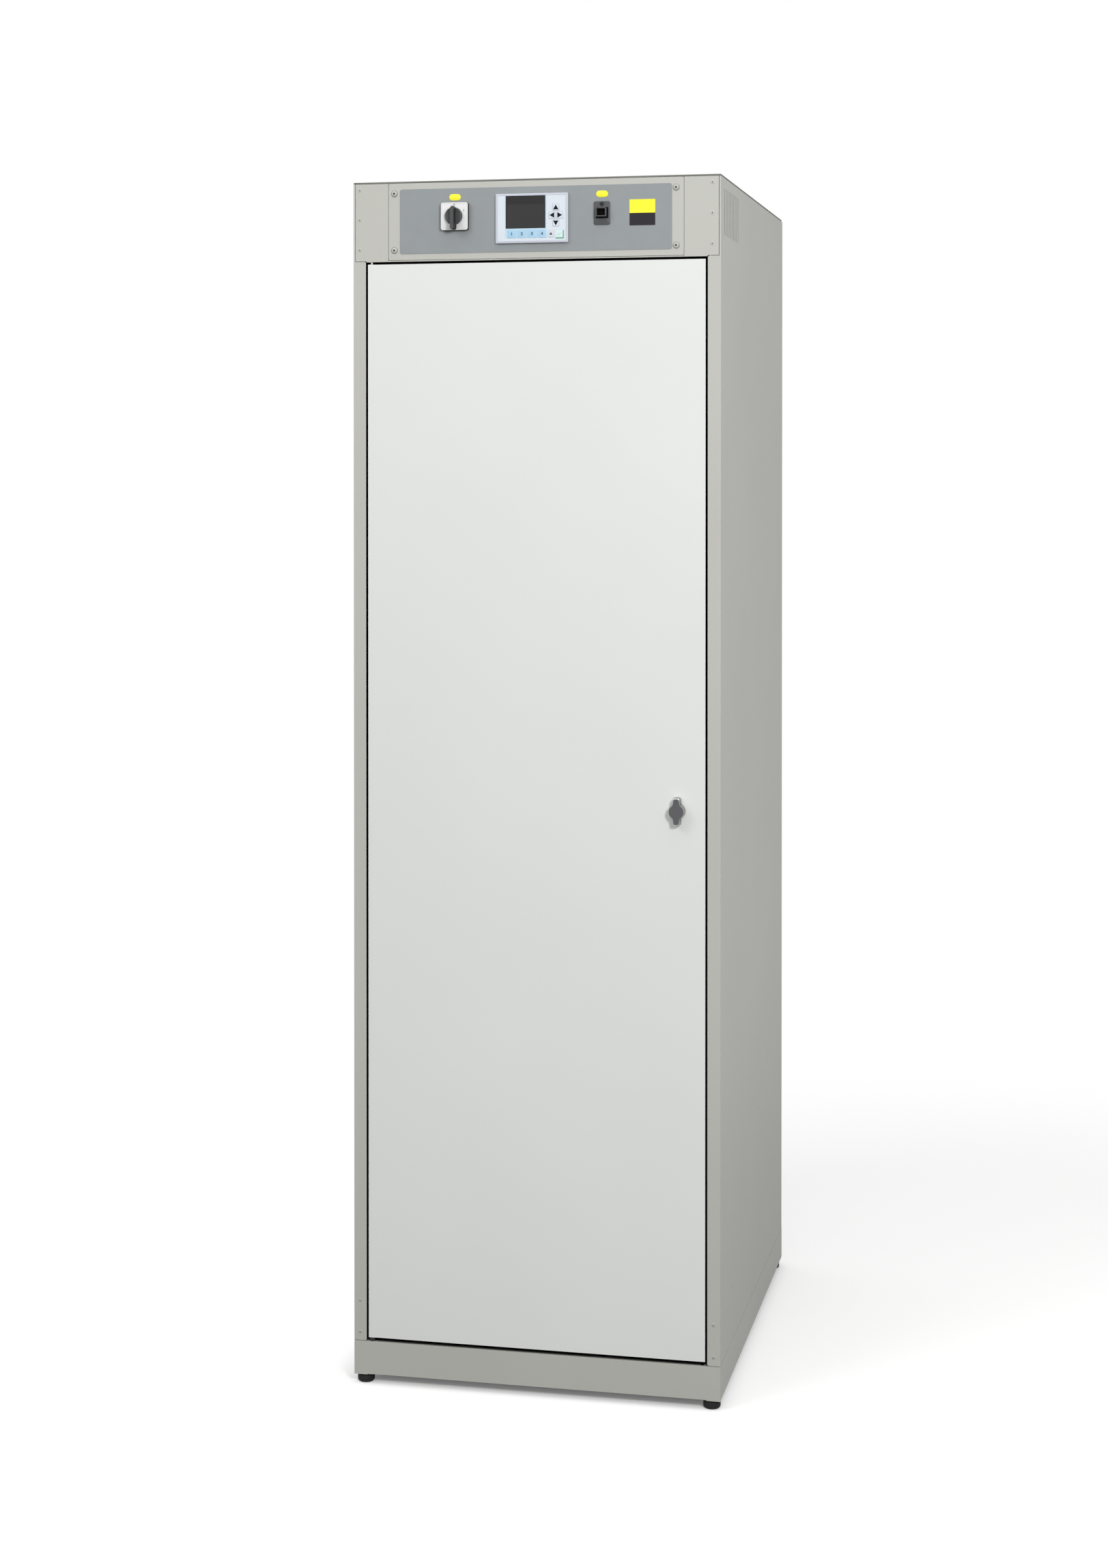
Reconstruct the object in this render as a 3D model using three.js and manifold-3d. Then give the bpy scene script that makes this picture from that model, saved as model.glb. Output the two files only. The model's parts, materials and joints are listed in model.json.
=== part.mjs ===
// A tall free-standing drying cabinet: an insulated sheet-metal casing with one full-height door, a header that
// holds the controls, a fan and heater above the chamber, and a hanging rail and two boot racks inside.
// Millimetres, +Z up, the front faces -Y, and the origin is on the floor under the middle of the base.
import * as THREE from "three";
import { mergeVertices } from "three/addons/utils/BufferGeometryUtils.js";
import Module from "manifold-3d";

const wasm = await Module();
wasm.setup();

// Casing
const width = 650;
const depth = 830;
const bodyHeight = 2093; // base and casing, without the feet
const footHeight = 16;
const casingSheet = 2;
const clearance = 0.3; // between pieces that meet
const seam = 0.8; // open joint lines that show on the front
const overcut = 1; // how far a cut runs past the faces it opens
const plinthHeight = 59.3;
const headerHeight = 138;
const headerLip = 2; // how far the header's rail reaches below its end plates
const roofSheet = 3;
const roofSideInset = 1;
const roofRearInset = 12;
const postWidth = 23;
const cornerStrip = 3; // the folded corner that runs up beside the header
const postCornerCut = 2.5;
const rearFlange = 22;

// Base and feet
const footCentre = 17; // from the side and from the front
const footRadius = 15;
const footEdge = 1.5;
const studRadius = 4;
const studLength = 28;
const cornerBlock = 34;
const cornerBlockHeight = 12;
const plinthRelief = 1.5; // the plinth's front edge is cut back between its corner pieces
const plinthCornerWidth = 24;
const rearFootCentre = 24; // from the back

// Door
const doorSideGap = 3;
const doorTopGap = 3.6;
const doorBottomGap = 6.7;
const doorThickness = 24;
const doorSheet = 1.5;
const recessDepth = 30; // from the casing's front to the stop frame
const sealWidth = 8;
const sealInset = 3; // from the door's edge
const coreNotch = 26; // leaves room for the hinge bushes in the door's corners
const hingeSetback = 5.5; // the hinge axis behind the door's front
const hingeInset = 6; // the hinge axis from the door's edge
const pinRadius = 2.5;
const pinChamfer = 0.6;
const pinInDoor = 22;
const pinInCasing = 12;
const bushWall = 0.8;
const bushLength = 26;
const bushCollarRadius = 6;
const topBushStand = 0.6; // how far the top bush stands out of the door

// Quarter-turn latch
const latchInset = 48; // the spindle from the door's free edge
const spindleRadius = 4;
const latchBarrelRadius = 10;
const latchFlangeRadius = 12.5;
const latchFlange = 1.5;
const latchNutRadius = 14;
const latchNutHeight = 4.5;
const knobHeight = 15.5;
const knobDisc = 14;
const knobReach = 23.5;
const knobTipHalf = 6.2;
const knobFaceDisc = 11.4;
const knobFaceReach = 21;
const knobFaceTipHalf = 5;
const knobWaistAngle = 55; // degrees, where the wings leave the round middle
const knobArcSteps = 8;
const camThickness = 3;
const camHalfWidth = 7;
const camBossRadius = 11;
const camReach = 46;
const camRunning = 1.2; // between the cam and the back of the stop frame

// Chamber
const stopOverlap = 16; // the stop frame's width inside the door opening
const stopSheet = 2;
const linerSheet = 1.2;
const linerInset = 2; // the liner's inner wall from the door opening's edge
const rearWall = 30; // from the casing's back to the liner's inner wall
const floorSheet = 1.5;
const sealBacking = 3; // how far the stop frame reaches past the seal
const railRadius = 12.5;
const railFromTop = 205; // the rail's axis below the chamber's ceiling
const railPlateRadius = 24;
const railPlate = 5;
const fixingFront = 128.5; // the rack supports' front fixings, from the casing's front
const fixingRear = 483.5;
const fixingLower = 155; // above the base's lower edge
const fixingUpper = 386;
const fixingRadius = 2.75;
const supportSheet = 2;
const supportMargin = 20;
const rackLedge = 14;
const rackBar = 8;
const rackSlat = 5;
const rackSlats = 12;

// Header and control panel
const ledgeWidth = 20;
const controlPlateHalf = 261;
const controlPlateBottom = 137; // from the top of the casing
const plateCorner = 3;
const screwInset = 11.5; // from the plate's side edges
const screwLevels = [21.2, 119.9]; // from the top of the casing
const screwHeadRadius = 5;
const screwHeadHeight = 2.4;
const screwShoulderRadius = 4.5; // where the head's dome starts
const screwShoulderHeight = 1.3;
const screwFlatRadius = 2.75;
const screwRadius = 2.5;
const filmWidth = 481;
const filmTop = 14;
const filmBottom = 126.5;
const filmThickness = 0.4;
const filmCorner = 4;

// Rotary switch, its place measured from the left edge and the top of the casing
const switchFromLeft = 184.5;
const switchFromTop = 63.3;
const switchWidth = 48;
const switchCorner = 2.5;
const switchBaseHeight = 6;
const switchBaseExtra = 1;
const switchPlateThickness = 2.5;
const switchNeckRadius = 11;
const contactBlockWidth = 44;
const contactBlockDepth = 52;
const shaftRadius = 4;
const shaftLength = 20;
const dialRadius = 15.3;
const dialHeight = 6.5;
const dialRunning = 0.5;
const gripHalf = 4.7;
const gripTail = 24;
const gripShoulder = 12.5;
const gripTip = 17.5;
const gripHeight = 11;

// Text display
const displayFromLeft = 321.2;
const displayFromTop = 69.1;
const displayWidth = 128;
const displayHeight = 85.5;
const displayCorner = 1.5;
const displayDepth = 5;
const rearCaseMargin = 5;
const rearCaseDepth = 38;
const screenWidth = 70.3;
const screenHeight = 56.5;
const screenRight = -10.7; // the screen's centre from the display's centre
const screenUp = 10.75;
const screenDepth = 1.5;
const keyProud = 0.3;
const keyThickness = 1.9;
const keyPocket = 2.5;
const softKeys = 4;
const softKeyWidth = 15.6;
const softKeyHeight = 13.4;
const softKeyPitch = 17.83;
const softKeyStart = -34.95;
const softKeyDown = 26.9;
const arrowKeyWidth = 12.3;
const arrowsRight = 42.8;
const arrowsUp = 4.4;
const arrowPitch = 13.5;
const cancelKeyWidth = 11.6;
const cancelKeyRight = 34.25;
const cancelKeyDown = 27.7;
const enterKeyWidth = 15;
const enterKeyRight = 49.75;
const enterKeyDown = 28.65;

// Network socket
const socketFromLeft = 444;
const socketFromTop = 62.5;
const socketWidth = 28;
const socketHeight = 40;
const socketCorner = 3;
const socketFlange = 2.5;
const portWidth = 18;
const portHeight = 14.8;
const portUp = 1;
const portDepth = 9;
const portWall = 1.5;
const portBore = 14;
const socketRearWidth = 20;
const socketRearHeight = 24;
const socketRearDepth = 22;

// Vents in the sides of the control compartment
const ventSlots = 10;
const ventPitch = 18;
const ventSlotWidth = 6;
const ventSlotHeight = 79.4;
const ventFirst = 41.5; // the first slot's centre from the casing's front
const ventFromTop = 60.9; // the slots' middle from the top of the casing

// Fan, heater and exhaust
const fanX = -130;
const fanY = 150;
const fanWidth = 180;
const fanHeight = 58;
const fanBore = 80;
const outletRadius = 75;
const strutWidth = 10;
const strutHeight = 4;
const strutCount = 4;
const motorRadius = 30;
const motorHeight = 22;
const motorShaftLength = 16;
const hubRadius = 33;
const hubHeight = 20;
const bladeCount = 7;
const bladeReach = 76;
const bladeChord = 26;
const bladeThickness = 2.5;
const bladePitch = 38; // degrees
const ductWidth = 190;
const ductHeight = 60;
const ductSheet = 1.5;
const elementRadius = 4;
const elementPasses = 4;
const elementPitch = 30;
const elementRun = 60; // each pass reaches this far either side of the middle
const elementTail = 16; // beyond the duct's wall
const elementSteps = 64;
const quarterCircle = 0.5523; // a cubic Bezier's handle for a quarter circle of radius 1
const exhaustX = 130;
const exhaustY = 200;
const exhaustRadius = 50;
const exhaustSheet = 2;
const exhaustStand = 45;
const exhaustFlange = 65;
const glandFromSide = 95;
const glandFromTop = 64;
const glandBore = 6.5;
const glandThread = 10;
const glandCap = 15;
const glandNut = 14;
const glandStand = 20;
const glandShoulder = 12; // the height at which the cap starts to narrow
const glandNutHeight = 5;

// Control gear behind the header
const dinWidth = 35;
const dinHeight = 7.5;
const dinSheet = 1;
const dinFoot = 5;
const dinLength = 260;
const dinCentreX = 70;
const dinCentreY = -100;
const controllerWidth = 110;
const controllerDepth = 90;
const controllerHeight = 58;
const controllerStep = 16;
const terminalWidth = 72;
const terminalDepth = 50;
const terminalHeight = 42;
const gearGap = 12;

// Round pieces
const fineSides = 32;
const roundSides = 24;
const coarseSides = 12;
const rodSides = 6;
const hexagonSides = 6;
const cornerSteps = 4; // in each rounded corner of a plate

// Levels and planes worked out from the sizes above
const front = -depth / 2;
const back = depth / 2;
const side = width / 2;
const baseBottom = footHeight;
const plinthTop = baseBottom + plinthHeight;
const roofTop = baseBottom + bodyHeight;
const roofBottom = roofTop - roofSheet;
const headerBottom = roofTop - headerHeight;
const lipBottom = headerBottom - headerLip;
const openingHalf = side - postWidth;
const stopFront = front + recessDepth + clearance;
const stopBack = stopFront + stopSheet;
const linerHalf = openingHalf - linerInset;
const linerFront = stopBack + clearance;
const linerBack = back - rearWall;
const rearInner = back - 2 * casingSheet - 2 * clearance; // the inside of the side panels' rear flanges
const ceiling = lipBottom;
const deckBottom = ceiling + clearance;
const deckTop = deckBottom + casingSheet;
const doorWidth = 2 * (openingHalf - doorSideGap);
const doorBottom = plinthTop + doorBottomGap;
const doorHeight = lipBottom - doorTopGap - doorBottom;
const hingeX = -openingHalf + doorSideGap + hingeInset;
const hingeY = front + hingeSetback;
const pinBoreRadius = pinRadius + clearance;
const bushRadius = pinBoreRadius + bushWall;
const filmFront = front - clearance - filmThickness;
const controlSeat = filmFront - clearance; // what stands on the film starts here
const panelBack = front + casingSheet;
const glandX = side - glandFromSide;

// Materials
const finish = (color, roughness, metalness = 0) =>
  new THREE.MeshStandardMaterial({ color, roughness, metalness });
const casingPaint = finish(0xbfbfb9, 0.55);
const doorPaint = finish(0xdfe1de, 0.5);
const stainless = finish(0xb4b6b8, 0.35, 1);
const zincSteel = finish(0x9fa3a6, 0.4, 1);
const blackRubber = finish(0x141414, 0.8);
const blackPlastic = finish(0x222326, 0.5);
const greyPlastic = finish(0x55565a, 0.5);
const whitePlastic = finish(0xf0f0ee, 0.45);
const bezelPlastic = finish(0xcfd3dd, 0.5);
const keyPlastic = finish(0xe2e6ee, 0.5);
const softKeyPlastic = finish(0xa9cbe6, 0.5);
const screenGlass = finish(0x3a3a3a, 0.2);
const filmPrint = finish(0x9b9fa1, 0.5);
const mineralWool = finish(0xc9bd8a, 0.95);
const dieCast = finish(0x6b6b6b, 0.3, 1);

// A closed geometry as a solid, with only its positions kept and its shared vertices merged.
function solidOf(geometry) {
  const loose = geometry.index ? geometry.toNonIndexed() : geometry;
  const bare = new THREE.BufferGeometry().setAttribute("position", loose.getAttribute("position"));
  const merged = mergeVertices(bare, 1e-4);
  const vertProperties = new Float32Array(merged.attributes.position.array);
  const triVerts = new Uint32Array(merged.index.array);
  return new wasm.Manifold(new wasm.Mesh({ numProp: 3, vertProperties, triVerts }));
}

function geometryOf(solid) {
  const mesh = solid.getMesh();
  const indexed = new THREE.BufferGeometry();
  indexed.setAttribute("position", new THREE.BufferAttribute(new Float32Array(mesh.vertProperties), 3));
  indexed.setIndex(new THREE.BufferAttribute(new Uint32Array(mesh.triVerts), 1));
  const geometry = indexed.toNonIndexed();
  geometry.computeVertexNormals();
  return geometry;
}

const join = (first, ...others) =>
  geometryOf(others.reduce((sum, next) => sum.add(solidOf(next)), solidOf(first)));

const cut = (first, ...tools) =>
  geometryOf(tools.reduce((rest, tool) => rest.subtract(solidOf(tool)), solidOf(first)));

// A box between two ends along each axis, given in either order.
function block(x, y, z) {
  const spans = [x, y, z];
  const sizes = spans.map(([a, b]) => Math.abs(b - a));
  const middle = spans.map(([a, b]) => (a + b) / 2);
  return new THREE.BoxGeometry(...sizes).translate(...middle);
}

// A round bar along one axis, through the origin of the other two.
function bar(axis, radius, [from, to], sides = roundSides) {
  const geometry = new THREE.CylinderGeometry(radius, radius, Math.abs(to - from), sides);
  geometry.translate(0, (from + to) / 2, 0);
  if (axis === "z") geometry.rotateX(Math.PI / 2);
  if (axis === "x") geometry.rotateZ(-Math.PI / 2);
  return geometry;
}

// The same, run past both faces of what it is cut through.
const throughBar = (axis, radius, [from, to], sides) =>
  bar(axis, radius, [from - overcut, to + overcut], sides);

// A profile of [radius, height] points turned about the Z axis.
function turned(profile, sides = roundSides) {
  const points = profile.map(([radius, height]) => new THREE.Vector2(radius, height));
  return new THREE.LatheGeometry(points, sides).rotateX(Math.PI / 2);
}

// A ring-shaped profile closes on its first point.
const turnedRing = (profile, sides) => turned([...profile, profile[0]], sides);

function roundedRectangle(wide, high, radius) {
  const x = wide / 2;
  const y = high / 2;
  const shape = new THREE.Shape();
  shape.moveTo(radius - x, -y);
  shape.lineTo(x - radius, -y);
  shape.absarc(x - radius, radius - y, radius, -Math.PI / 2, 0, false);
  shape.lineTo(x, y - radius);
  shape.absarc(x - radius, y - radius, radius, 0, Math.PI / 2, false);
  shape.lineTo(radius - x, y);
  shape.absarc(radius - x, y - radius, radius, Math.PI / 2, Math.PI, false);
  shape.lineTo(-x, radius - y);
  shape.absarc(radius - x, radius - y, radius, Math.PI, Math.PI * 1.5, false);
  return shape;
}

// A plate whose outline is drawn as seen from the front; its back is at y = 0 and it stands out towards -Y.
function facePlate(shape, thickness) {
  const options = { depth: thickness, bevelEnabled: false, curveSegments: cornerSteps };
  return new THREE.ExtrudeGeometry(shape, options).rotateX(Math.PI / 2);
}

// A straight-sided solid that narrows from its outline at the back to the one at the front, point for point.
function drafted(backOutline, frontOutline, height) {
  const count = backOutline.length;
  const rings = [backOutline.map(([x, z]) => [x, 0, z]), frontOutline.map(([x, z]) => [x, -height, z])];
  const corners = rings.flat();
  const faces = THREE.ShapeUtils.triangulateShape(backOutline.map(([x, z]) => new THREE.Vector2(x, z)), []);
  const index = [];
  for (const [a, b, c] of faces) {
    index.push(a, c, b);
    index.push(a + count, b + count, c + count);
  }
  for (let i = 0; i < count; i += 1) {
    const next = (i + 1) % count;
    index.push(i, next, next + count, i, next + count, i + count);
  }
  const geometry = new THREE.BufferGeometry();
  geometry.setAttribute("position", new THREE.Float32BufferAttribute(corners.flat(), 3));
  geometry.setIndex(index);
  return geometryOf(solidOf(geometry));
}

function piece(parent, name, geometry, material, at = [0, 0, 0]) {
  const mesh = new THREE.Mesh(geometry, material);
  mesh.name = name;
  mesh.position.set(...at);
  parent.add(mesh);
  return mesh;
}

function groupAt(parent, x, y, z) {
  const group = new THREE.Group();
  group.position.set(x, y, z);
  parent.add(group);
  return group;
}

const both = [-1, 1];
const fromLeft = (distance) => distance - side;
const fromTop = (distance) => roofTop - distance;

// The four places of the feet.
const footPlaces = [
  ["front_left", footCentre - side, front + footCentre],
  ["front_right", side - footCentre, front + footCentre],
  ["rear_left", footCentre - side, back - rearFootCentre],
  ["rear_right", side - footCentre, back - rearFootCentre],
];

function baseFrame() {
  const shell = cut(
    block([-side, side], [front, back], [baseBottom, plinthTop]),
    block(
      [casingSheet - side, side - casingSheet],
      [front + casingSheet, back - casingSheet],
      [baseBottom - casingSheet, plinthTop - casingSheet]
    )
  );
  const blockTop = baseBottom + cornerBlockHeight;
  const blocks = both.flatMap((x) =>
    both.map((y) =>
      block(
        [x * side, x * (side - cornerBlock)],
        [y * back, y * (back - cornerBlock)],
        [baseBottom, blockTop]
      )
    )
  );
  const studHole = throughBar("z", studRadius + clearance, [baseBottom, blockTop], coarseSides);
  const studHoles = footPlaces.map(([, x, y]) => studHole.clone().translate(x, y, 0));
  const relief = block(
    [plinthCornerWidth - side, side - plinthCornerWidth],
    [front - overcut, front + casingSheet],
    [baseBottom - overcut, baseBottom + plinthRelief]
  );
  const deck = [plinthTop - casingSheet, plinthTop];
  const pinHole = throughBar("z", pinBoreRadius, deck, coarseSides);
  return cut(join(shell, ...blocks), ...studHoles, relief, pinHole.translate(hingeX, hingeY, 0));
}

function foot() {
  const padTop = footHeight - clearance;
  return turned([
    [0, 0],
    [footRadius - footEdge, 0],
    [footRadius, footEdge],
    [footRadius, padTop - footEdge / 2],
    [footRadius - footEdge / 2, padTop],
    [studRadius, padTop],
    [studRadius, padTop + studLength],
    [0, padTop + studLength],
  ]);
}

// One side of the casing, folded round the front into the door post and its return. x is -1 on the left.
function sidePanel(x) {
  const low = plinthTop + seam;
  const high = roofBottom - clearance;
  const rear = back - casingSheet - clearance;
  const sheet = block([x * (side - casingSheet), x * side], [front, rear], [low, high]);
  const strip = block([x * (side - cornerStrip), x * side], [front, front + casingSheet], [low, high]);
  const postHigh = headerBottom - seam;
  const post = block([x * openingHalf, x * side], [front, front + casingSheet], [low, postHigh]);
  const reveal = block(
    [x * openingHalf, x * (openingHalf + casingSheet)],
    [front, front + recessDepth],
    [low, lipBottom - clearance]
  );
  const flangeHigh = high - casingSheet - clearance;
  const flange = block([x * (side - rearFlange), x * side], [rear - casingSheet, rear], [low, flangeHigh]);
  const level = fromTop(ventFromTop);
  const slots = Array.from({ length: ventSlots }, (_, i) => {
    const middle = front + ventFirst + i * ventPitch;
    return block(
      [x * (side - 2 * casingSheet), x * (side + overcut)],
      [middle - ventSlotWidth / 2, middle + ventSlotWidth / 2],
      [level - ventSlotHeight / 2, level + ventSlotHeight / 2]
    );
  });
  const holes = [fixingFront, fixingRear].flatMap((y) =>
    [fixingLower, fixingUpper].map((z) =>
      bar("x", fixingRadius, [side - 2 * casingSheet, side + overcut], coarseSides)
        .scale(x, 1, x)
        .translate(0, front + y, baseBottom + z)
    )
  );
  const corners = [low, postHigh].map((z) =>
    new THREE.BoxGeometry(postCornerCut * Math.SQRT2, 2 * casingSheet, postCornerCut * Math.SQRT2)
      .rotateY(Math.PI / 4)
      .translate(x * openingHalf, front, z)
  );
  return cut(join(sheet, strip, post, reveal, flange), ...slots, ...holes, ...corners);
}

function backPanel() {
  const high = roofBottom - clearance;
  const half = side - roofSideInset;
  const panel = block([-half, half], [back - casingSheet, back], [plinthTop + clearance, high]);
  const foldHalf = side - casingSheet - clearance;
  const foldFront = back - roofRearInset - 2 * casingSheet;
  const fold = block([-foldHalf, foldHalf], [foldFront, back], [high - casingSheet, high]);
  const hole = throughBar("y", glandThread + clearance, [back - casingSheet, back]);
  return cut(join(panel, fold), hole.translate(glandX, 0, fromTop(glandFromTop)));
}

function roofPanel() {
  const sheet = block(
    [roofSideInset - side, side - roofSideInset],
    [front + clearance, back - roofRearInset],
    [roofBottom, roofTop]
  );
  const hole = throughBar("z", exhaustRadius + clearance, [roofBottom, roofTop], fineSides);
  return cut(sheet, hole.translate(exhaustX, exhaustY, 0));
}

// The header's end plates, the ledge behind the control plate, and the rail over the door.
function headerFrame() {
  const outer = side - cornerStrip - seam;
  const high = roofBottom - clearance;
  const ledgeFront = front + casingSheet + clearance;
  const ledgeBack = ledgeFront + casingSheet;
  const ends = both.map((x) =>
    block([x * (controlPlateHalf + seam), x * outer], [front, ledgeBack], [headerBottom, high])
  );
  const ledge = cut(
    block([-outer, outer], [ledgeFront, ledgeBack], [headerBottom, high]),
    block(
      [ledgeWidth - controlPlateHalf, controlPlateHalf - ledgeWidth],
      [front, ledgeBack + overcut],
      [fromTop(controlPlateBottom) + ledgeWidth, high - ledgeWidth]
    )
  );
  const rail = block(
    [clearance - openingHalf, openingHalf - clearance],
    [front, front + recessDepth],
    [lipBottom, fromTop(controlPlateBottom) - seam]
  );
  const ledgeFoot = block(
    [clearance - openingHalf, openingHalf - clearance],
    [ledgeFront, ledgeBack],
    [lipBottom, headerBottom + ledgeWidth / 2]
  );
  const pinTop = lipBottom + pinInCasing + clearance;
  const pinHole = bar("z", pinBoreRadius, [lipBottom - overcut, pinTop], coarseSides);
  return cut(join(rail, ledge, ledgeFoot, ...ends), pinHole.translate(hingeX, hingeY, 0));
}

// A box-shaped cut for something of a given width and height, with clearance all round it.
function opening(wide, high, [from, to]) {
  const halfWide = wide / 2 + clearance;
  const halfHigh = high / 2 + clearance;
  return block([-halfWide, halfWide], [from, to], [-halfHigh, halfHigh]);
}

// Cut-outs through plate and film for the switch's neck, the display's rear case and the socket's rear body.
function controlCutouts(span) {
  const neck = bar("y", switchNeckRadius + clearance, span);
  const rearCase = opening(displayWidth - 2 * rearCaseMargin, displayHeight - 2 * rearCaseMargin, span);
  const rearBody = opening(socketRearWidth, socketRearHeight, span);
  return [
    neck.translate(fromLeft(switchFromLeft), 0, fromTop(switchFromTop)),
    rearCase.translate(fromLeft(displayFromLeft), 0, fromTop(displayFromTop)),
    rearBody.translate(fromLeft(socketFromLeft), 0, fromTop(socketFromTop)),
  ];
}

// A button-head screw whose head stands on y = 0.
function screwHead() {
  const sunk = casingSheet / 2;
  return turned(
    [
      [0, -sunk],
      [screwRadius, -sunk],
      [screwRadius, 0],
      [screwHeadRadius, 0],
      [screwShoulderRadius, screwShoulderHeight],
      [screwFlatRadius, screwHeadHeight],
      [0, screwHeadHeight],
    ],
    coarseSides
  ).rotateX(Math.PI / 2);
}

// The control plate, with the four screws that hold it to the ledge.
function controlPlate() {
  const high = roofBottom - clearance;
  const low = fromTop(controlPlateBottom);
  const outline = roundedRectangle(2 * controlPlateHalf, high - low, plateCorner);
  const plate = facePlate(outline, casingSheet).translate(0, panelBack, (high + low) / 2);
  const screwX = controlPlateHalf - screwInset;
  const screws = both.flatMap((x) =>
    screwLevels.map((level) => screwHead().translate(x * screwX, front, fromTop(level)))
  );
  return join(cut(plate, ...controlCutouts([front - overcut, panelBack + overcut])), ...screws);
}

function controlFilm() {
  const middle = fromTop((filmTop + filmBottom) / 2);
  const film = facePlate(roundedRectangle(filmWidth, filmBottom - filmTop, filmCorner), filmThickness);
  return cut(film.translate(0, front - clearance, middle), ...controlCutouts([filmFront - overcut, front]));
}

// Inner liner, insulation and the frame that the door closes on
function innerLiner() {
  const outer = linerHalf + linerSheet;
  const low = plinthTop + clearance;
  return cut(
    block([-outer, outer], [linerFront, linerBack + linerSheet], [low, ceiling]),
    block([-linerHalf, linerHalf], [linerFront - overcut, linerBack], [low - overcut, ceiling + overcut])
  );
}

function insulationJacket() {
  const wall = linerSheet + clearance;
  const inner = linerHalf + wall;
  const outer = side - casingSheet - clearance;
  const low = plinthTop + clearance;
  return cut(
    block([-outer, outer], [linerFront, rearInner], [low, ceiling]),
    block([-inner, inner], [linerFront - overcut, linerBack + wall], [low - overcut, ceiling + overcut])
  );
}

function stopFrame() {
  const outer = side - casingSheet - clearance;
  const inner = openingHalf - stopOverlap;
  const edge = sealInset + sealWidth + sealBacking;
  const levels = [doorBottom + edge, doorBottom + doorHeight - edge];
  return cut(
    block([-outer, outer], [stopFront, stopBack], [plinthTop + clearance, ceiling]),
    block([-inner, inner], [stopFront - overcut, stopBack + overcut], levels)
  );
}

function chamberFloor() {
  const low = plinthTop + clearance;
  return block(
    [clearance - linerHalf, linerHalf - clearance],
    [linerFront, linerBack - clearance],
    [low, low + floorSheet]
  );
}

function compartmentFloor() {
  const outer = side - casingSheet - clearance;
  const deck = block([-outer, outer], [stopFront, rearInner], [deckBottom, deckTop]);
  const levels = [deckBottom, deckTop];
  const outlet = throughBar("z", outletRadius, levels, fineSides).translate(fanX, fanY, 0);
  const exhaust = throughBar("z", exhaustRadius + clearance, levels, fineSides);
  return cut(deck, outlet, exhaust.translate(exhaustX, exhaustY, 0));
}

// The rail for hangers, with a round wall plate at each end.
function hangingRail() {
  const reach = linerHalf - clearance;
  const tube = bar("x", railRadius, [-reach, reach]);
  const plate = bar("x", railPlateRadius, [reach - railPlate, reach]);
  return join(tube, plate, plate.clone().rotateZ(Math.PI));
}

// A side plate with two ledges for the racks, fixed at the same four places as the casing's fixings.
function rackSupport(x) {
  const outer = linerHalf - clearance;
  const inner = outer - supportSheet;
  const plate = block(
    [x * inner, x * outer],
    [front + fixingFront - supportMargin, front + fixingRear + supportMargin],
    [baseBottom + fixingLower - supportMargin, baseBottom + fixingUpper + supportMargin]
  );
  const ledges = [fixingLower, fixingUpper].map((z) =>
    block(
      [x * (inner - rackLedge), x * outer],
      [front + fixingFront - supportMargin, front + fixingRear + supportMargin],
      [baseBottom + z - supportSheet, baseBottom + z]
    )
  );
  return join(plate, ...ledges);
}

// A slatted rack whose end bars rest on the ledges; its lower face is at z = 0.
function bootRack() {
  const half = linerHalf - 2 * clearance - supportSheet;
  const from = front + fixingFront - supportMargin;
  const to = front + fixingRear + supportMargin;
  const ends = both.map((x) => block([x * half, x * (half - rackBar)], [from, to], [0, rackBar]));
  const endMargin = (rackBar - rackSlat) / 2;
  const pitch = (to - from - rackSlat - 2 * endMargin) / (rackSlats - 1);
  const slats = Array.from({ length: rackSlats }, (_, i) => {
    const start = from + endMargin + i * pitch;
    return block(
      [rackBar / 2 - half, half - rackBar / 2],
      [start, start + rackSlat],
      [endMargin, rackBar - endMargin]
    );
  });
  return join(...ends, ...slats);
}

function fanHousing() {
  const half = fanWidth / 2;
  const frame = cut(
    block([-half, half], [-half, half], [0, fanHeight]),
    throughBar("z", fanBore, [0, fanHeight], fineSides)
  );
  const strutTurn = (2 * Math.PI) / strutCount;
  const struts = Array.from({ length: strutCount / 2 }, (_, i) =>
    block([-half, half], [-strutWidth / 2, strutWidth / 2], [0, strutHeight]).rotateZ(i * strutTurn)
  );
  return join(frame, ...struts, bar("z", motorRadius, [0, strutHeight]));
}

function fanMotor() {
  const shaftTop = motorHeight + motorShaftLength;
  return join(bar("z", motorRadius, [0, motorHeight]), bar("z", shaftRadius, [0, shaftTop], coarseSides));
}

function fanImpeller() {
  const bore = bar("z", shaftRadius + clearance, [-overcut, motorShaftLength], coarseSides);
  const span = bladeReach - hubRadius / 2;
  const blades = Array.from({ length: bladeCount }, (_, i) =>
    new THREE.BoxGeometry(span, bladeChord, bladeThickness)
      .rotateX(THREE.MathUtils.degToRad(bladePitch))
      .translate(bladeReach - span / 2, 0, hubHeight / 2)
      .rotateZ((2 * i * Math.PI) / bladeCount)
  );
  const hub = bar("z", hubRadius, [0, hubHeight]);
  return cut(join(hub, ...blades), bore);
}

const elementPlaces = Array.from(
  { length: elementPasses },
  (_, i) => (i - (elementPasses - 1) / 2) * elementPitch
);

function heaterDuct() {
  const half = ductWidth / 2;
  const inner = half - ductSheet;
  const holes = [elementPlaces[0], elementPlaces[elementPasses - 1]].map((y) =>
    throughBar("x", elementRadius + clearance, [inner, half], coarseSides).translate(0, y, -ductHeight / 2)
  );
  return cut(
    block([-half, half], [-half, half], [-ductHeight, 0]),
    block([-inner, inner], [-inner, inner], [-ductHeight - overcut, overcut]),
    ...holes
  );
}

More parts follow.
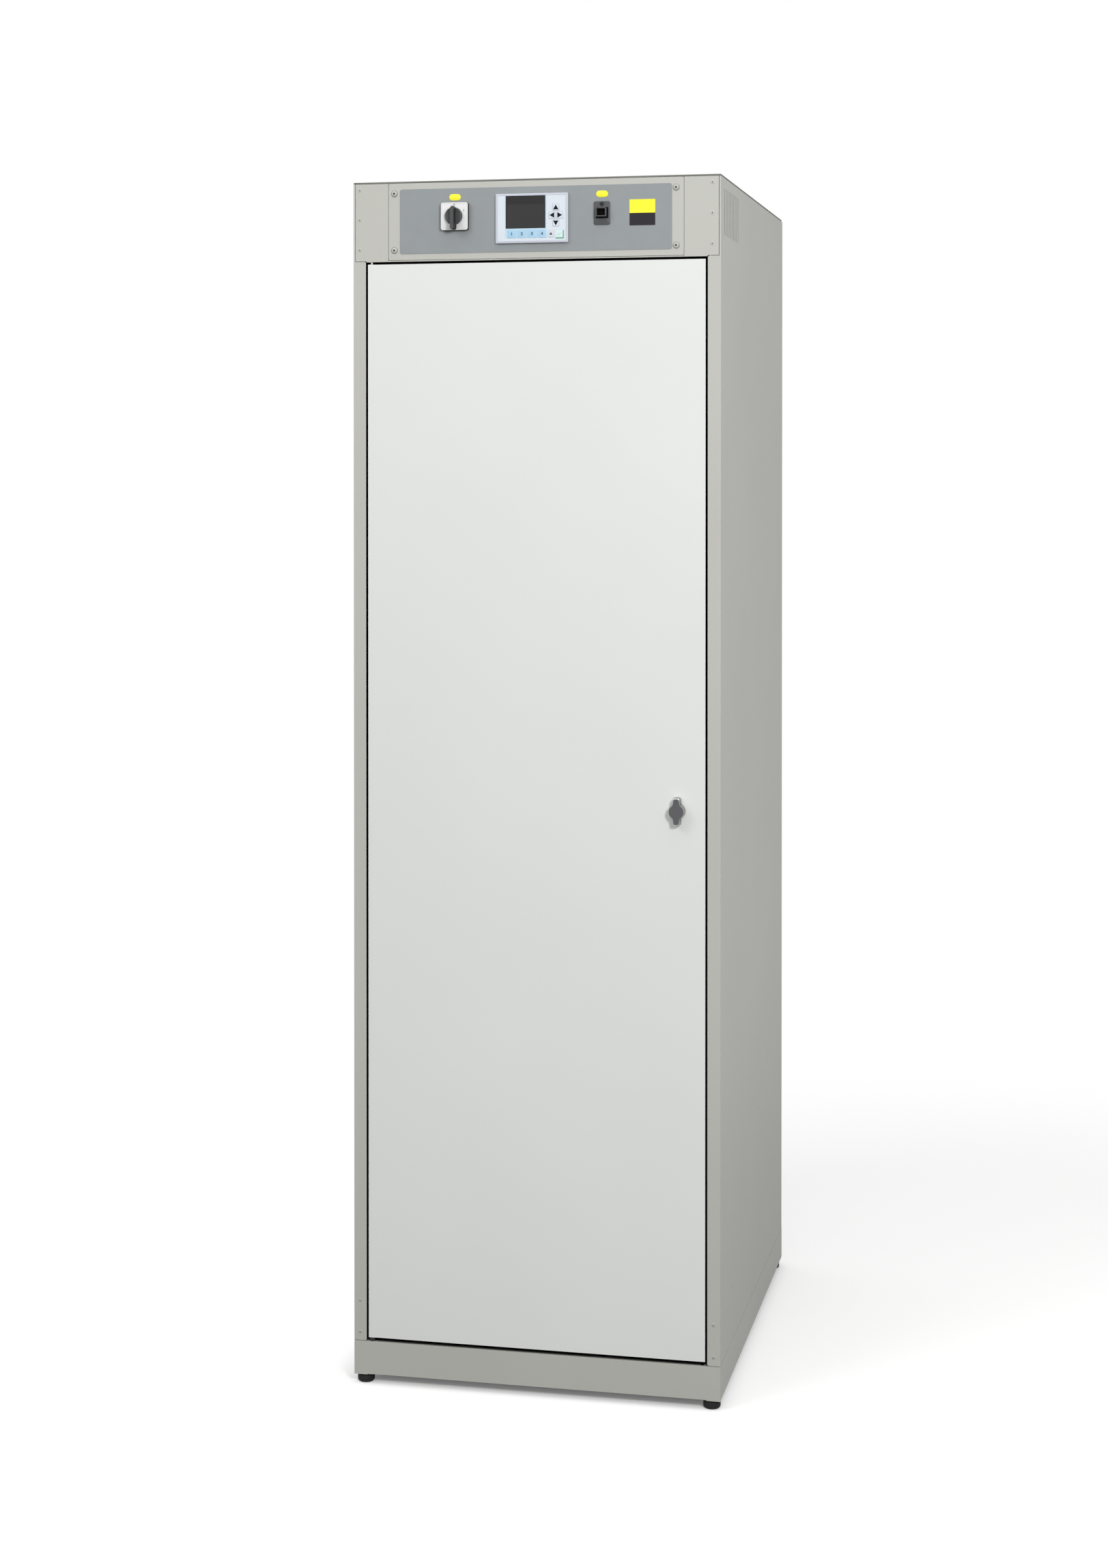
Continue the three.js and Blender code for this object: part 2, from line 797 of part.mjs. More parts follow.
// A tubular element that runs to and fro across the duct, its two ends through the same wall.
function heaterElement() {
  const path = new THREE.CurvePath();
  const tail = ductWidth / 2 + elementTail;
  const turn = elementPitch / 2;
  const at = (x, y) => new THREE.Vector3(x, y, 0);
  let from = at(tail, elementPlaces[0]);
  elementPlaces.forEach((y, i) => {
    const way = i % 2 === 0 ? -1 : 1;
    const last = i === elementPasses - 1;
    const to = at(last ? tail : way * elementRun, y);
    path.add(new THREE.LineCurve3(from, to));
    if (!last) {
      const top = at(to.x + way * turn, y + turn);
      const next = at(to.x, y + elementPitch);
      const bulge = turn * quarterCircle;
      const leaving = at(to.x + way * bulge, to.y);
      const arriving = at(next.x + way * bulge, next.y);
      path.add(new THREE.CubicBezierCurve3(to, leaving, at(top.x, top.y - bulge), top));
      path.add(new THREE.CubicBezierCurve3(top, at(top.x, top.y + bulge), arriving, next));
      from = next;
    }
  });
  const section = new THREE.Shape();
  for (let i = 0; i < rodSides; i += 1) {
    const angle = (2 * i * Math.PI) / rodSides;
    const point = [elementRadius * Math.cos(angle), elementRadius * Math.sin(angle)];
    if (i === 0) section.moveTo(...point);
    else section.lineTo(...point);
  }
  section.closePath();
  return new THREE.ExtrudeGeometry(section, { steps: elementSteps, extrudePath: path });
}

function exhaustSpigot() {
  const inner = exhaustRadius - exhaustSheet;
  const flangeBottom = roofTop + clearance;
  return turnedRing(
    [
      [inner, deckBottom],
      [exhaustRadius, deckBottom],
      [exhaustRadius, flangeBottom],
      [exhaustFlange, flangeBottom],
      [exhaustFlange, flangeBottom + exhaustSheet],
      [exhaustRadius, flangeBottom + exhaustSheet],
      [exhaustRadius, roofTop + exhaustStand],
      [inner, roofTop + exhaustStand],
    ],
    fineSides
  );
}

// The supply cable's gland, built along +Z and turned to face the back.
function cableGland() {
  const inside = -casingSheet - clearance;
  return turnedRing([
    [glandBore, inside - glandNutHeight],
    [glandNut, inside - glandNutHeight],
    [glandNut, inside],
    [glandThread, inside],
    [glandThread, clearance],
    [glandCap, clearance],
    [glandCap, glandShoulder],
    [glandThread, glandStand],
    [glandBore, glandStand],
  ]).rotateX(-Math.PI / 2);
}

function mountingRail() {
  const half = dinWidth / 2;
  const inner = half - dinFoot;
  const profile = new THREE.Shape();
  profile.moveTo(-half, dinHeight - dinSheet);
  profile.lineTo(dinSheet - inner - 2 * dinSheet, dinHeight - dinSheet);
  profile.lineTo(-inner - dinSheet, 0);
  profile.lineTo(inner + dinSheet, 0);
  profile.lineTo(inner + dinSheet, dinHeight - dinSheet);
  profile.lineTo(half, dinHeight - dinSheet);
  profile.lineTo(half, dinHeight);
  profile.lineTo(inner, dinHeight);
  profile.lineTo(inner, dinSheet);
  profile.lineTo(-inner, dinSheet);
  profile.lineTo(-inner, dinHeight);
  profile.lineTo(-half, dinHeight);
  profile.closePath();
  const rail = new THREE.ExtrudeGeometry(profile, { depth: dinLength, bevelEnabled: false });
  return rail.rotateX(Math.PI / 2).rotateZ(Math.PI / 2).translate(-dinLength / 2, 0, 0);
}

// A box that stands on z = 0.
const standing = (wide, deep, high) => new THREE.BoxGeometry(wide, deep, high).translate(0, 0, high / 2);

function controllerModule() {
  const low = standing(controllerWidth, controllerDepth, controllerHeight - controllerStep);
  return join(low, standing(controllerWidth, controllerDepth - 2 * controllerStep, controllerHeight));
}

const terminalBlock = () => standing(terminalWidth, terminalDepth, terminalHeight);

// Door, built with the hinge axis at x = y = 0 and its lower edge at z = 0
const doorLeft = -hingeInset;
const doorRight = doorWidth - hingeInset;
const doorFront = -hingeSetback;
const doorBack = doorFront + doorThickness;
const latchX = doorRight - latchInset;
const latchZ = doorHeight / 2;

const bushHole = (from, to) => throughBar("z", bushRadius + clearance, [from, to], coarseSides);

function latchHole() {
  const hole = throughBar("y", latchBarrelRadius + clearance, [doorFront, doorBack]);
  return hole.translate(latchX, 0, latchZ);
}

function doorSkin() {
  const pan = cut(
    block([doorLeft, doorRight], [doorFront, doorBack], [0, doorHeight]),
    block(
      [doorLeft + doorSheet, doorRight - doorSheet],
      [doorFront + doorSheet, doorBack + overcut],
      [doorSheet, doorHeight - doorSheet]
    )
  );
  const ends = [bushHole(0, doorSheet), bushHole(doorHeight - doorSheet, doorHeight)];
  return cut(pan, latchHole(), ...ends);
}

function doorInnerPanel() {
  const inset = doorSheet + clearance;
  const panel = block(
    [doorLeft + inset, doorRight - inset],
    [doorBack - doorSheet, doorBack],
    [inset, doorHeight - inset]
  );
  return cut(panel, latchHole());
}

function doorCore() {
  const inset = doorSheet + clearance;
  const core = block(
    [doorLeft + inset, doorRight - inset],
    [doorFront + inset, doorBack - inset],
    [inset, doorHeight - inset]
  );
  const notches = [[0, coreNotch + bushLength], [doorHeight - coreNotch - bushLength, doorHeight]].map((z) =>
    block([doorLeft, doorLeft + coreNotch], [doorFront, doorBack], z)
  );
  return cut(core, latchHole(), ...notches);
}

function doorSeal() {
  const from = doorBack + clearance;
  const to = stopFront - hingeY - clearance;
  const outer = sealInset;
  const inner = sealInset + sealWidth;
  return cut(
    block([doorLeft + outer, doorRight - outer], [from, to], [outer, doorHeight - outer]),
    block([doorLeft + inner, doorRight - inner], [from - overcut, to + overcut], [inner, doorHeight - inner])
  );
}

const topHingeBush = () =>
  turnedRing([
    [pinBoreRadius, doorHeight - bushLength],
    [bushRadius, doorHeight - bushLength],
    [bushRadius, doorHeight + topBushStand],
    [pinBoreRadius, doorHeight + topBushStand],
  ]);

const bottomHingeBush = () =>
  turnedRing([
    [pinBoreRadius, clearance - doorBottomGap],
    [bushCollarRadius, clearance - doorBottomGap],
    [bushCollarRadius, -clearance],
    [bushRadius, -clearance],
    [bushRadius, bushLength],
    [pinBoreRadius, bushLength],
  ]);

function hingePin(from, to) {
  return turned([
    [0, from],
    [pinRadius - pinChamfer, from],
    [pinRadius, from + pinChamfer],
    [pinRadius, to - pinChamfer],
    [pinRadius - pinChamfer, to],
    [0, to],
  ]);
}

// Latch, built round its spindle with the door's front at y = 0
const latchNutBack = doorThickness + clearance + latchNutHeight;
const camFront = stopBack - front + camRunning;

function latchHousing() {
  const barrelBack = camFront - 2 * clearance;
  const flange = bar("y", latchFlangeRadius, [-clearance - latchFlange, -clearance]);
  const barrel = bar("y", latchBarrelRadius, [-clearance - latchFlange, latchNutBack]);
  const sleeve = bar("y", spindleRadius * 2, [0, barrelBack]);
  const nut = bar("y", latchNutRadius, [doorThickness + clearance, latchNutBack], hexagonSides);
  const bore = throughBar("y", spindleRadius + clearance, [-clearance - latchFlange, barrelBack]);
  return cut(join(flange, barrel, sleeve, nut), bore);
}

// The winged knob's outline: a round middle between two straight wings, as seen from the front.
function knobOutline(disc, reach, tipHalf) {
  const waist = THREE.MathUtils.degToRad(knobWaistAngle);
  const arc = Array.from({ length: knobArcSteps + 1 }, (_, i) => {
    const angle = -waist + (2 * waist * i) / knobArcSteps;
    return [disc * Math.cos(angle), disc * Math.sin(angle)];
  });
  const rightHalf = [[tipHalf, -reach], ...arc, [tipHalf, reach]];
  const leftHalf = rightHalf.map(([x, z]) => [-x, -z]);
  return [...rightHalf, ...leftHalf];
}

function latchKnob() {
  const seat = -latchFlange - 2 * clearance;
  const handle = drafted(
    knobOutline(knobDisc, knobReach, knobTipHalf),
    knobOutline(knobFaceDisc, knobFaceReach, knobFaceTipHalf),
    knobHeight
  ).translate(0, seat, 0);
  const spindle = bar("y", spindleRadius, [seat - knobHeight / 2, camFront + camThickness + clearance]);
  return join(handle, spindle);
}

// The cam hangs down when the door is free to open.
function latchCam() {
  const back = camFront + camThickness;
  const arm = block([-camHalfWidth, camHalfWidth], [camFront, back], [camHalfWidth - camReach, 0]);
  const tip = bar("y", camHalfWidth, [camFront, back]).translate(0, 0, camHalfWidth - camReach);
  const boss = bar("y", camBossRadius, [camFront, back]);
  return cut(join(arm, tip, boss), throughBar("y", spindleRadius + clearance, [camFront, back]));
}

// Rotary switch, built round its shaft with the back of its base at y = 0
const switchBaseFront = -switchBaseHeight;
const switchPlateFront = switchBaseFront - clearance - switchPlateThickness;
const contactBlockFront = panelBack + clearance - controlSeat;
const shaftBack = shaftLength;

function switchBody() {
  const baseSize = switchWidth + switchBaseExtra;
  const half = contactBlockWidth / 2;
  const contactBlockBack = contactBlockFront + contactBlockDepth;
  const base = facePlate(roundedRectangle(baseSize, baseSize, switchCorner), switchBaseHeight);
  const neck = bar("y", switchNeckRadius, [-switchBaseHeight / 2, contactBlockFront + overcut]);
  const contacts = block([-half, half], [contactBlockFront, contactBlockBack], [-half, half]);
  const bore = bar("y", shaftRadius + clearance, [switchBaseFront - overcut, shaftBack + clearance]);
  return cut(join(base, neck, contacts), bore);
}

function switchPlate() {
  const plate = facePlate(roundedRectangle(switchWidth, switchWidth, switchCorner), switchPlateThickness);
  plate.translate(0, switchBaseFront - clearance, 0);
  return cut(plate, bar("y", shaftRadius + clearance, [switchPlateFront - overcut, switchBaseFront]));
}

function switchKnob() {
  const dialBack = switchPlateFront - dialRunning;
  const dialFront = dialBack - dialHeight;
  const dial = bar("y", dialRadius, [dialFront, dialBack], fineSides);
  const outline = new THREE.Shape();
  outline.moveTo(-gripHalf, -gripTail);
  outline.lineTo(gripHalf, -gripTail);
  outline.lineTo(gripHalf, gripShoulder);
  outline.lineTo(0, gripTip);
  outline.lineTo(-gripHalf, gripShoulder);
  outline.closePath();
  const grip = facePlate(outline, gripHeight + dialHeight / 2).translate(0, dialFront + dialHeight / 2, 0);
  const shaft = bar("y", shaftRadius, [dialFront, shaftBack], coarseSides);
  return join(dial, grip, shaft);
}

// Text display, built round its centre with the back of its bezel at y = 0
function keyPlaces() {
  const key = (name, x, z, wide, high, material = keyPlastic) => ({ name, x, z, wide, high, material });
  const soft = Array.from({ length: softKeys }, (_, i) => {
    const x = softKeyStart + i * softKeyPitch;
    return key(`soft_key_${i + 1}`, x, -softKeyDown, softKeyWidth, softKeyHeight, softKeyPlastic);
  });
  const arrow = (name, across, up) =>
    key(name, arrowsRight + across * arrowPitch, arrowsUp + up * arrowPitch, arrowKeyWidth, arrowKeyWidth);
  return [
    ...soft,
    arrow("up_key", 0, 1),
    arrow("down_key", 0, -1),
    arrow("left_key", -1 / 2, 0),
    arrow("right_key", 1 / 2, 0),
    key("cancel_key", cancelKeyRight, -cancelKeyDown, cancelKeyWidth, cancelKeyWidth),
    key("enter_key", enterKeyRight, -enterKeyDown, enterKeyWidth, enterKeyWidth),
  ];
}

function displayBezel() {
  const plate = facePlate(roundedRectangle(displayWidth, displayHeight, displayCorner), displayDepth);
  const pockets = keyPlaces().map(({ x, z, wide, high }) =>
    opening(wide, high, [-displayDepth - overcut, keyPocket - displayDepth]).translate(x, 0, z)
  );
  const screenSeat = screenDepth + clearance - displayDepth;
  const screen = opening(screenWidth, screenHeight, [-displayDepth - overcut, screenSeat]);
  return cut(plate, screen.translate(screenRight, 0, screenUp), ...pockets);
}

const displayLens = () =>
  facePlate(roundedRectangle(screenWidth, screenHeight, displayCorner), screenDepth).translate(
    screenRight,
    screenDepth - displayDepth,
    screenUp
  );

const displayKey = (wide, high) =>
  facePlate(roundedRectangle(wide, high, displayCorner / 2), keyThickness).translate(
    0,
    keyThickness - keyProud - displayDepth,
    0
  );

function displayRearCase() {
  const half = displayWidth / 2 - rearCaseMargin;
  const high = displayHeight / 2 - rearCaseMargin;
  return block([-half, half], [clearance, rearCaseDepth], [-high, high]);
}

// Network socket, built round its flange's centre with the back of the flange at y = 0
function networkSocket() {
  const flange = facePlate(roundedRectangle(socketWidth, socketHeight, socketCorner), socketFlange);
  const halfWide = portWidth / 2;
  const halfHigh = portHeight / 2;
  const mouth = -socketFlange - portDepth;
  const port = block([-halfWide, halfWide], [mouth, 0], [portUp - halfHigh, portUp + halfHigh]);
  const rear = block(
    [-socketRearWidth / 2, socketRearWidth / 2],
    [-socketFlange / 2, socketRearDepth],
    [-socketRearHeight / 2, socketRearHeight / 2]
  );
  const bore = block(
    [portWall - halfWide, halfWide - portWall],
    [mouth - overcut, mouth + portBore],
    [portUp - halfHigh + portWall, portUp + halfHigh - portWall]
  );
  return cut(join(flange, port, rear), bore);
}

const cabinet = new THREE.Group();

// Casing and chamber
piece(cabinet, "base_frame", baseFrame(), casingPaint);
for (const [name, x, y] of footPlaces) {
  piece(cabinet, `${name}_foot`, foot(), blackRubber, [x, y, 0]);
}
piece(cabinet, "left_side_panel", sidePanel(-1), casingPaint);
piece(cabinet, "right_side_panel", sidePanel(1), casingPaint);
piece(cabinet, "back_panel", backPanel(), casingPaint);
piece(cabinet, "roof_panel", roofPanel(), casingPaint);
piece(cabinet, "header_frame", headerFrame(), casingPaint);
piece(cabinet, "control_plate", controlPlate(), casingPaint);
piece(cabinet, "control_film", controlFilm(), filmPrint);
piece(cabinet, "inner_liner", innerLiner(), stainless);
piece(cabinet, "insulation_jacket", insulationJacket(), mineralWool);
piece(cabinet, "stop_frame", stopFrame(), zincSteel);
piece(cabinet, "chamber_floor", chamberFloor(), stainless);
piece(cabinet, "compartment_floor", compartmentFloor(), zincSteel);
piece(cabinet, "hanging_rail", hangingRail(), stainless, [0, 0, ceiling - railFromTop]);
piece(cabinet, "left_rack_support", rackSupport(-1), stainless);
piece(cabinet, "right_rack_support", rackSupport(1), stainless);
piece(cabinet, "lower_boot_rack", bootRack(), stainless, [0, 0, baseBottom + fixingLower + clearance]);
piece(cabinet, "upper_boot_rack", bootRack(), stainless, [0, 0, baseBottom + fixingUpper + clearance]);

// Fan, heater, exhaust and supply
const fan = groupAt(cabinet, fanX, fanY, deckTop + clearance);
const motorSeat = strutHeight + clearance;
piece(fan, "fan_housing", fanHousing(), blackPlastic);
piece(fan, "fan_motor", fanMotor(), zincSteel, [0, 0, motorSeat]);
piece(fan, "fan_impeller", fanImpeller(), greyPlastic, [0, 0, motorSeat + motorHeight + 2 * clearance]);
const heater = groupAt(cabinet, fanX, fanY, ceiling);
piece(heater, "heater_duct", heaterDuct(), zincSteel);
piece(heater, "heater_element", heaterElement(), stainless, [0, 0, -ductHeight / 2]);
piece(cabinet, "exhaust_spigot", exhaustSpigot(), zincSteel, [exhaustX, exhaustY, 0]);
piece(cabinet, "cable_gland", cableGland(), blackPlastic, [glandX, back, fromTop(glandFromTop)]);

// Control gear
const gear = groupAt(cabinet, dinCentreX, dinCentreY, deckTop + clearance);
const gearSeat = dinHeight + clearance;
const controllerX = (controllerWidth - dinLength) / 2 + gearGap;
const terminalX = controllerX + controllerWidth / 2 + gearGap + terminalWidth / 2;
piece(gear, "mounting_rail", mountingRail(), zincSteel);
piece(gear, "controller_module", controllerModule(), greyPlastic, [controllerX, 0, gearSeat]);
piece(gear, "terminal_block", terminalBlock(), greyPlastic, [terminalX, 0, gearSeat]);

// Door with its latch
const doorTopLevel = doorBottom + doorHeight;
const pins = groupAt(cabinet, hingeX, hingeY, 0);
piece(pins, "top_hinge_pin", hingePin(doorTopLevel - pinInDoor, lipBottom + pinInCasing), zincSteel);
piece(pins, "bottom_hinge_pin", hingePin(plinthTop - pinInCasing, doorBottom + pinInDoor), zincSteel);
const door = groupAt(cabinet, hingeX, hingeY, doorBottom);
piece(door, "door_skin", doorSkin(), doorPaint);
piece(door, "door_core", doorCore(), mineralWool);
piece(door, "door_inner_panel", doorInnerPanel(), stainless);
piece(door, "door_seal", doorSeal(), blackRubber);
piece(door, "top_hinge_bush", topHingeBush(), blackPlastic);
piece(door, "bottom_hinge_bush", bottomHingeBush(), blackPlastic);
const latch = groupAt(door, latchX, doorFront, latchZ);
piece(latch, "latch_housing", latchHousing(), dieCast);
piece(latch, "latch_knob", latchKnob(), dieCast);
piece(latch, "latch_cam", latchCam(), zincSteel);

// Controls
const rotary = groupAt(cabinet, fromLeft(switchFromLeft), controlSeat, fromTop(switchFromTop));
piece(rotary, "switch_body", switchBody(), blackPlastic);
piece(rotary, "switch_plate", switchPlate(), whitePlastic);
piece(rotary, "switch_knob", switchKnob(), blackPlastic);
const display = groupAt(cabinet, fromLeft(displayFromLeft), controlSeat, fromTop(displayFromTop));
piece(display, "display_bezel", displayBezel(), bezelPlastic);
piece(display, "display_lens", displayLens(), screenGlass);
piece(display, "display_rear_case", displayRearCase(), greyPlastic);
for (const { name, x, z, wide, high, material } of keyPlaces()) {
  piece(display, name, displayKey(wide, high), material, [x, 0, z]);
}
piece(cabinet, "network_socket", networkSocket(), greyPlastic, [
  fromLeft(socketFromLeft),
  controlSeat,
  fromTop(socketFromTop),
]);

export default cabinet;
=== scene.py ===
# Drying cabinet: paint, plastics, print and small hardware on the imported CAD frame.
# Sizes are in millimetres in the frame's own axes; shapes are turned into metres when a piece is added.
import json
import math
import bmesh
import bpy
from mathutils import Matrix, Vector
from mathutils.geometry import tessellate_polygon

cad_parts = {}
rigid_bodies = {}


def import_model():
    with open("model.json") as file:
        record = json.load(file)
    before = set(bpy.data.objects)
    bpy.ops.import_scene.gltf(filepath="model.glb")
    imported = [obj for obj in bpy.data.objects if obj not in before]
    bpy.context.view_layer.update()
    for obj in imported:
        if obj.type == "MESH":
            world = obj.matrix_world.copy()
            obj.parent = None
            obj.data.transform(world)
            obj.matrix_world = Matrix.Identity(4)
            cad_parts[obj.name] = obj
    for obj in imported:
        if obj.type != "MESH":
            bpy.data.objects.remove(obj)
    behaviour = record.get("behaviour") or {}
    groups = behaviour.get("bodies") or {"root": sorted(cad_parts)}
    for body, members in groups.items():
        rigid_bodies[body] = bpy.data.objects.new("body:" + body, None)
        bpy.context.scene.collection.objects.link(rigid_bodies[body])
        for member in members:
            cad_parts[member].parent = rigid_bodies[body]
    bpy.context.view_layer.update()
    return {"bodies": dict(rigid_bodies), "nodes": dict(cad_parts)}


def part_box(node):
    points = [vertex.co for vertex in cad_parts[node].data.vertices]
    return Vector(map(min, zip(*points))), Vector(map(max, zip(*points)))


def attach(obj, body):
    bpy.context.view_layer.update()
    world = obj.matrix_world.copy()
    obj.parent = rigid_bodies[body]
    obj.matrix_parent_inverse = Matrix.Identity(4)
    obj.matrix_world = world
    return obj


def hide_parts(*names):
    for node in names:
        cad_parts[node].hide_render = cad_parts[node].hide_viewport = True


mm = 0.001
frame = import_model()
scene = bpy.context.scene
print("frame loaded:", len(frame["nodes"]), "nodes")


# camera: just right of the front, with a lowered frame so that the uprights stay upright; lengths in metres
cameraView = {
    "place": (0.9729, -4.7197, 1.6003), "tilt": 89.4, "turn": 12.297, "lens": 58.684, "shift": -0.1811,
    "far": 60}


def placeCamera(view):
    lens = bpy.data.cameras.new("photoCamera")
    lens.lens, lens.shift_y, lens.clip_end = view["lens"], view["shift"], view["far"]
    camera = bpy.data.objects.new("photoCamera", lens)
    camera.location = view["place"]
    camera.rotation_euler = (math.radians(view["tilt"]), 0, math.radians(view["turn"]))
    scene.collection.objects.link(camera)
    scene.camera = camera


placeCamera(cameraView)


# material tools
def hexColour(text):
    channels = [int(text[i:i + 2], 16) / 255 for i in (1, 3, 5)]
    return [c / 12.92 if c <= 0.04045 else ((c + 0.055) / 1.055) ** 2.4 for c in channels] + [1.0]


def perMetre(size):
    return 1 / (size * mm)  # pattern scale for a feature of this many millimetres


# What a pattern node takes: where it lies, how large its features are in millimetres, and the rest.
def laid(place, size, **more):
    return {"Vector": place, "Scale": perMetre(size), **more}


def addNode(tree, kind, inputs=None, **settings):
    node = tree.nodes.new("ShaderNode" + kind)
    for key, value in settings.items():
        setattr(node, key, value)
    for key, value in (inputs or {}).items():
        if isinstance(value, bpy.types.Node):
            value = value.outputs[0]
        if isinstance(value, bpy.types.NodeSocket):
            tree.links.new(value, node.inputs[key])
        else:
            node.inputs[key].default_value = value
    return node


def newMaterial(name, slotName):
    material = bpy.data.materials.new(name)
    material.use_nodes = True
    material.node_tree.nodes.clear()
    material["slot"] = slotName
    return material, material.node_tree, addNode(material.node_tree, "TexCoord").outputs["Object"]


# What most materials share: a colour between two tones, a roughness between two values and a bump (strength
# and depth), each led by a pattern. A layer, such as painted shade, is a mask and the colour it lays over
# the tones.
def addSurface(material, look, inputs, tones, roughness=None, bumps=None, layer=None):
    tree = material.node_tree
    colour = addNode(tree, "Mix", {0: tones, 6: hexColour(look["dark"]), 7: hexColour(look["light"])},
                     data_type="RGBA")
    if layer:
        colour = addNode(tree, "Mix", {0: layer[0], 6: colour.outputs[2], 7: layer[1]}, data_type="RGBA")
    inputs["Base Color"] = colour.outputs[2]
    if roughness:
        spread = addNode(tree, "MapRange", {0: roughness, 3: look["smoothest"], 4: look["roughest"]})
        inputs["Roughness"] = spread
    if bumps:
        strength, depth = look["bump"]
        skin = addNode(tree, "Bump", {"Height": bumps, "Strength": strength, "Distance": depth * mm})
        inputs["Normal"] = skin
    shader = addNode(tree, "BsdfPrincipled", inputs)
    addNode(tree, "OutputMaterial", {"Surface": shader})
    return material


# Polyester powder sprayed on sheet steel and baked: an even, dry satin colour whose highlights break up
# in a fine orange peel. Towards the floor the colour is darkened with painted shade, more on the sides
# than on the front.
def powderCoatedSteel(name, slotName, look):
    material, tree, place = newMaterial(name, slotName)
    cloud = addNode(tree, "TexNoise", laid(place, look["cloud"], Detail=2.0))
    peel = addNode(tree, "TexNoise", laid(place, look["peel"], Detail=1.0))
    # painted shade: darker towards the floor, and more on faces that point sideways
    height = addNode(tree, "SeparateXYZ", {0: place})
    aside = addNode(tree, "SeparateXYZ", {0: place.node.outputs["Normal"]})
    aside = addNode(tree, "Math", {0: aside.outputs["X"]}, operation="ABSOLUTE")
    most = addNode(tree, "MapRange", {0: aside, 3: look["dust"], 4: look["dustAside"]})
    dust = addNode(tree, "MapRange", {0: height.outputs["Z"], 1: 0.0, 2: look["dustTo"] * mm,
                                      3: most, 4: 0.0}, interpolation_type="SMOOTHSTEP")
    return addSurface(material, look, {"IOR": 1.5}, cloud, peel, peel, (dust, hexColour(look["dustColour"])))


# both paints: a real peel of 1.6 mm drawn at 2.4, and painted shade that thins out up to dustTo
casingPaint = {
    "dark": "#b6b6af", "light": "#bdbdb7", "cloud": 260, "peel": 2.4, "bump": (0.6, 0.03),
    "smoothest": 0.42, "roughest": 0.54, "dust": 0.1, "dustAside": 0.35, "dustTo": 800,
    "dustColour": "#6d6c66"}
doorPaint = {
    "dark": "#dddfdc", "light": "#e3e5e2", "cloud": 300, "peel": 2.4, "bump": (0.6, 0.025),
    "smoothest": 0.34, "roughest": 0.46, "dust": 0.02, "dustAside": 0.02, "dustTo": 500,
    "dustColour": "#6d6c66"}  # grey-white, a little glossier


# Stainless strip, cold rolled and pickled (2B): a grey milky mirror with faint lines along the rolling.
def rolledStainless(name, slotName, look):
    material, tree, place = newMaterial(name, slotName)
    drawn = addNode(tree, "Mapping", {"Vector": place, "Scale": (1, 1, look["drawn"])})
    lines = addNode(tree, "TexNoise", laid(drawn, look["line"], Detail=3.0))
    cloud = addNode(tree, "TexNoise", laid(place, look["cloud"], Detail=3.0))
    return addSurface(material, look, {"Metallic": 1.0}, cloud, lines, lines)


stainlessSheet = {
    "dark": "#a9aaa9", "light": "#b9bab8", "cloud": 120, "line": 3.0, "drawn": 0.04, "bump": (0.5, 0.006),
    "smoothest": 0.28, "roughest": 0.40}  # 0.2 mm roll lines drawn at 3
sheathSteel = {
    "dark": "#6e6258", "light": "#8b7f70", "cloud": 30, "line": 1.5, "drawn": 0.3, "bump": (0.5, 0.01),
    "smoothest": 0.35, "roughest": 0.5}  # browned where it has glowed


# Steel dipped in zinc (galvanised sheet): dull blue-grey crystals, each catching the light in its own way.
def galvanisedSteel(name, slotName, look):
    material, tree, place = newMaterial(name, slotName)
    flakes = addNode(tree, "TexVoronoi", laid(place, look["spangle"]))
    grain = addNode(tree, "TexNoise", laid(place, look["grain"], Detail=2.0))
    flake = addNode(tree, "SeparateColor", {0: flakes.outputs["Color"]})
    return addSurface(material, look, {"Metallic": 1.0}, flake, flake.outputs[1], grain)


dippedSheet = {
    "dark": "#8f9496", "light": "#a9adae", "spangle": 9, "grain": 1.5, "bump": (0.4, 0.02),
    "smoothest": 0.35, "roughest": 0.55}
platedScrews = {
    "dark": "#a3a39d", "light": "#b4b4af", "spangle": 3, "grain": 0.8, "bump": (0.4, 0.02),
    "smoothest": 0.26, "roughest": 0.38}  # bright zinc plate: no spangle, only slight clouds
contactGold = {
    "dark": "#3a301c", "light": "#463a23", "spangle": 2, "grain": 0.5, "bump": (0.4, 0.02),
    "smoothest": 0.3, "roughest": 0.4}  # thin gold wash on bronze springs


# Zinc alloy cast in a steel die, tumbled and nickel plated: dark satin metal, with painted highlights in the
# lighter tone on its sharpest edges.
def satinZincCasting(name, slotName, look):
    material, tree, place = newMaterial(name, slotName)
    cast = addNode(tree, "TexNoise", laid(place, look["cast"], Detail=4.0))
    edge = addNode(tree, "NewGeometry").outputs["Pointiness"]
    # painted highlight: the sharpest edges take the lighter tone
    worn = addNode(tree, "MapRange", {0: edge, 1: 0.50, 2: 0.56, 3: 0.0, 4: 1.0})  # 0.5 is a flat face
    return addSurface(material, look, {"Metallic": 1.0, "Specular Tint": hexColour(look["glance"])}, worn,
                      cast, cast)


latchFace = {
    "dark": "#59595b", "light": "#626264", "glance": "#6a6a6a", "cast": 1.2, "bump": (0.4, 0.03),
    "smoothest": 0.22, "roughest": 0.32}  # the front, a darker copy of the plating: painted shade
latchSides = {
    "dark": "#8d8e90", "light": "#dededd", "glance": "#c4c4c4", "cast": 1.2, "bump": (0.4, 0.03),
    "smoothest": 0.2, "roughest": 0.3}  # walls and bevels: a lighter copy of the plating, with painted highlights


# Moulded plastic out of a spark-eroded tool: a flat colour under a fine matt grain.
def mouldedPlastic(name, slotName, look):
    material, tree, place = newMaterial(name, slotName)
    cloud = addNode(tree, "TexNoise", laid(place, look["cloud"], Detail=2.0))
    grain = addNode(tree, "TexVoronoi", laid(place, look["grain"]), feature="SMOOTH_F1")
    return addSurface(material, look, {"IOR": look["ior"], "Specular IOR Level": look["gloss"]}, cloud,
                      cloud, grain.outputs["Distance"])


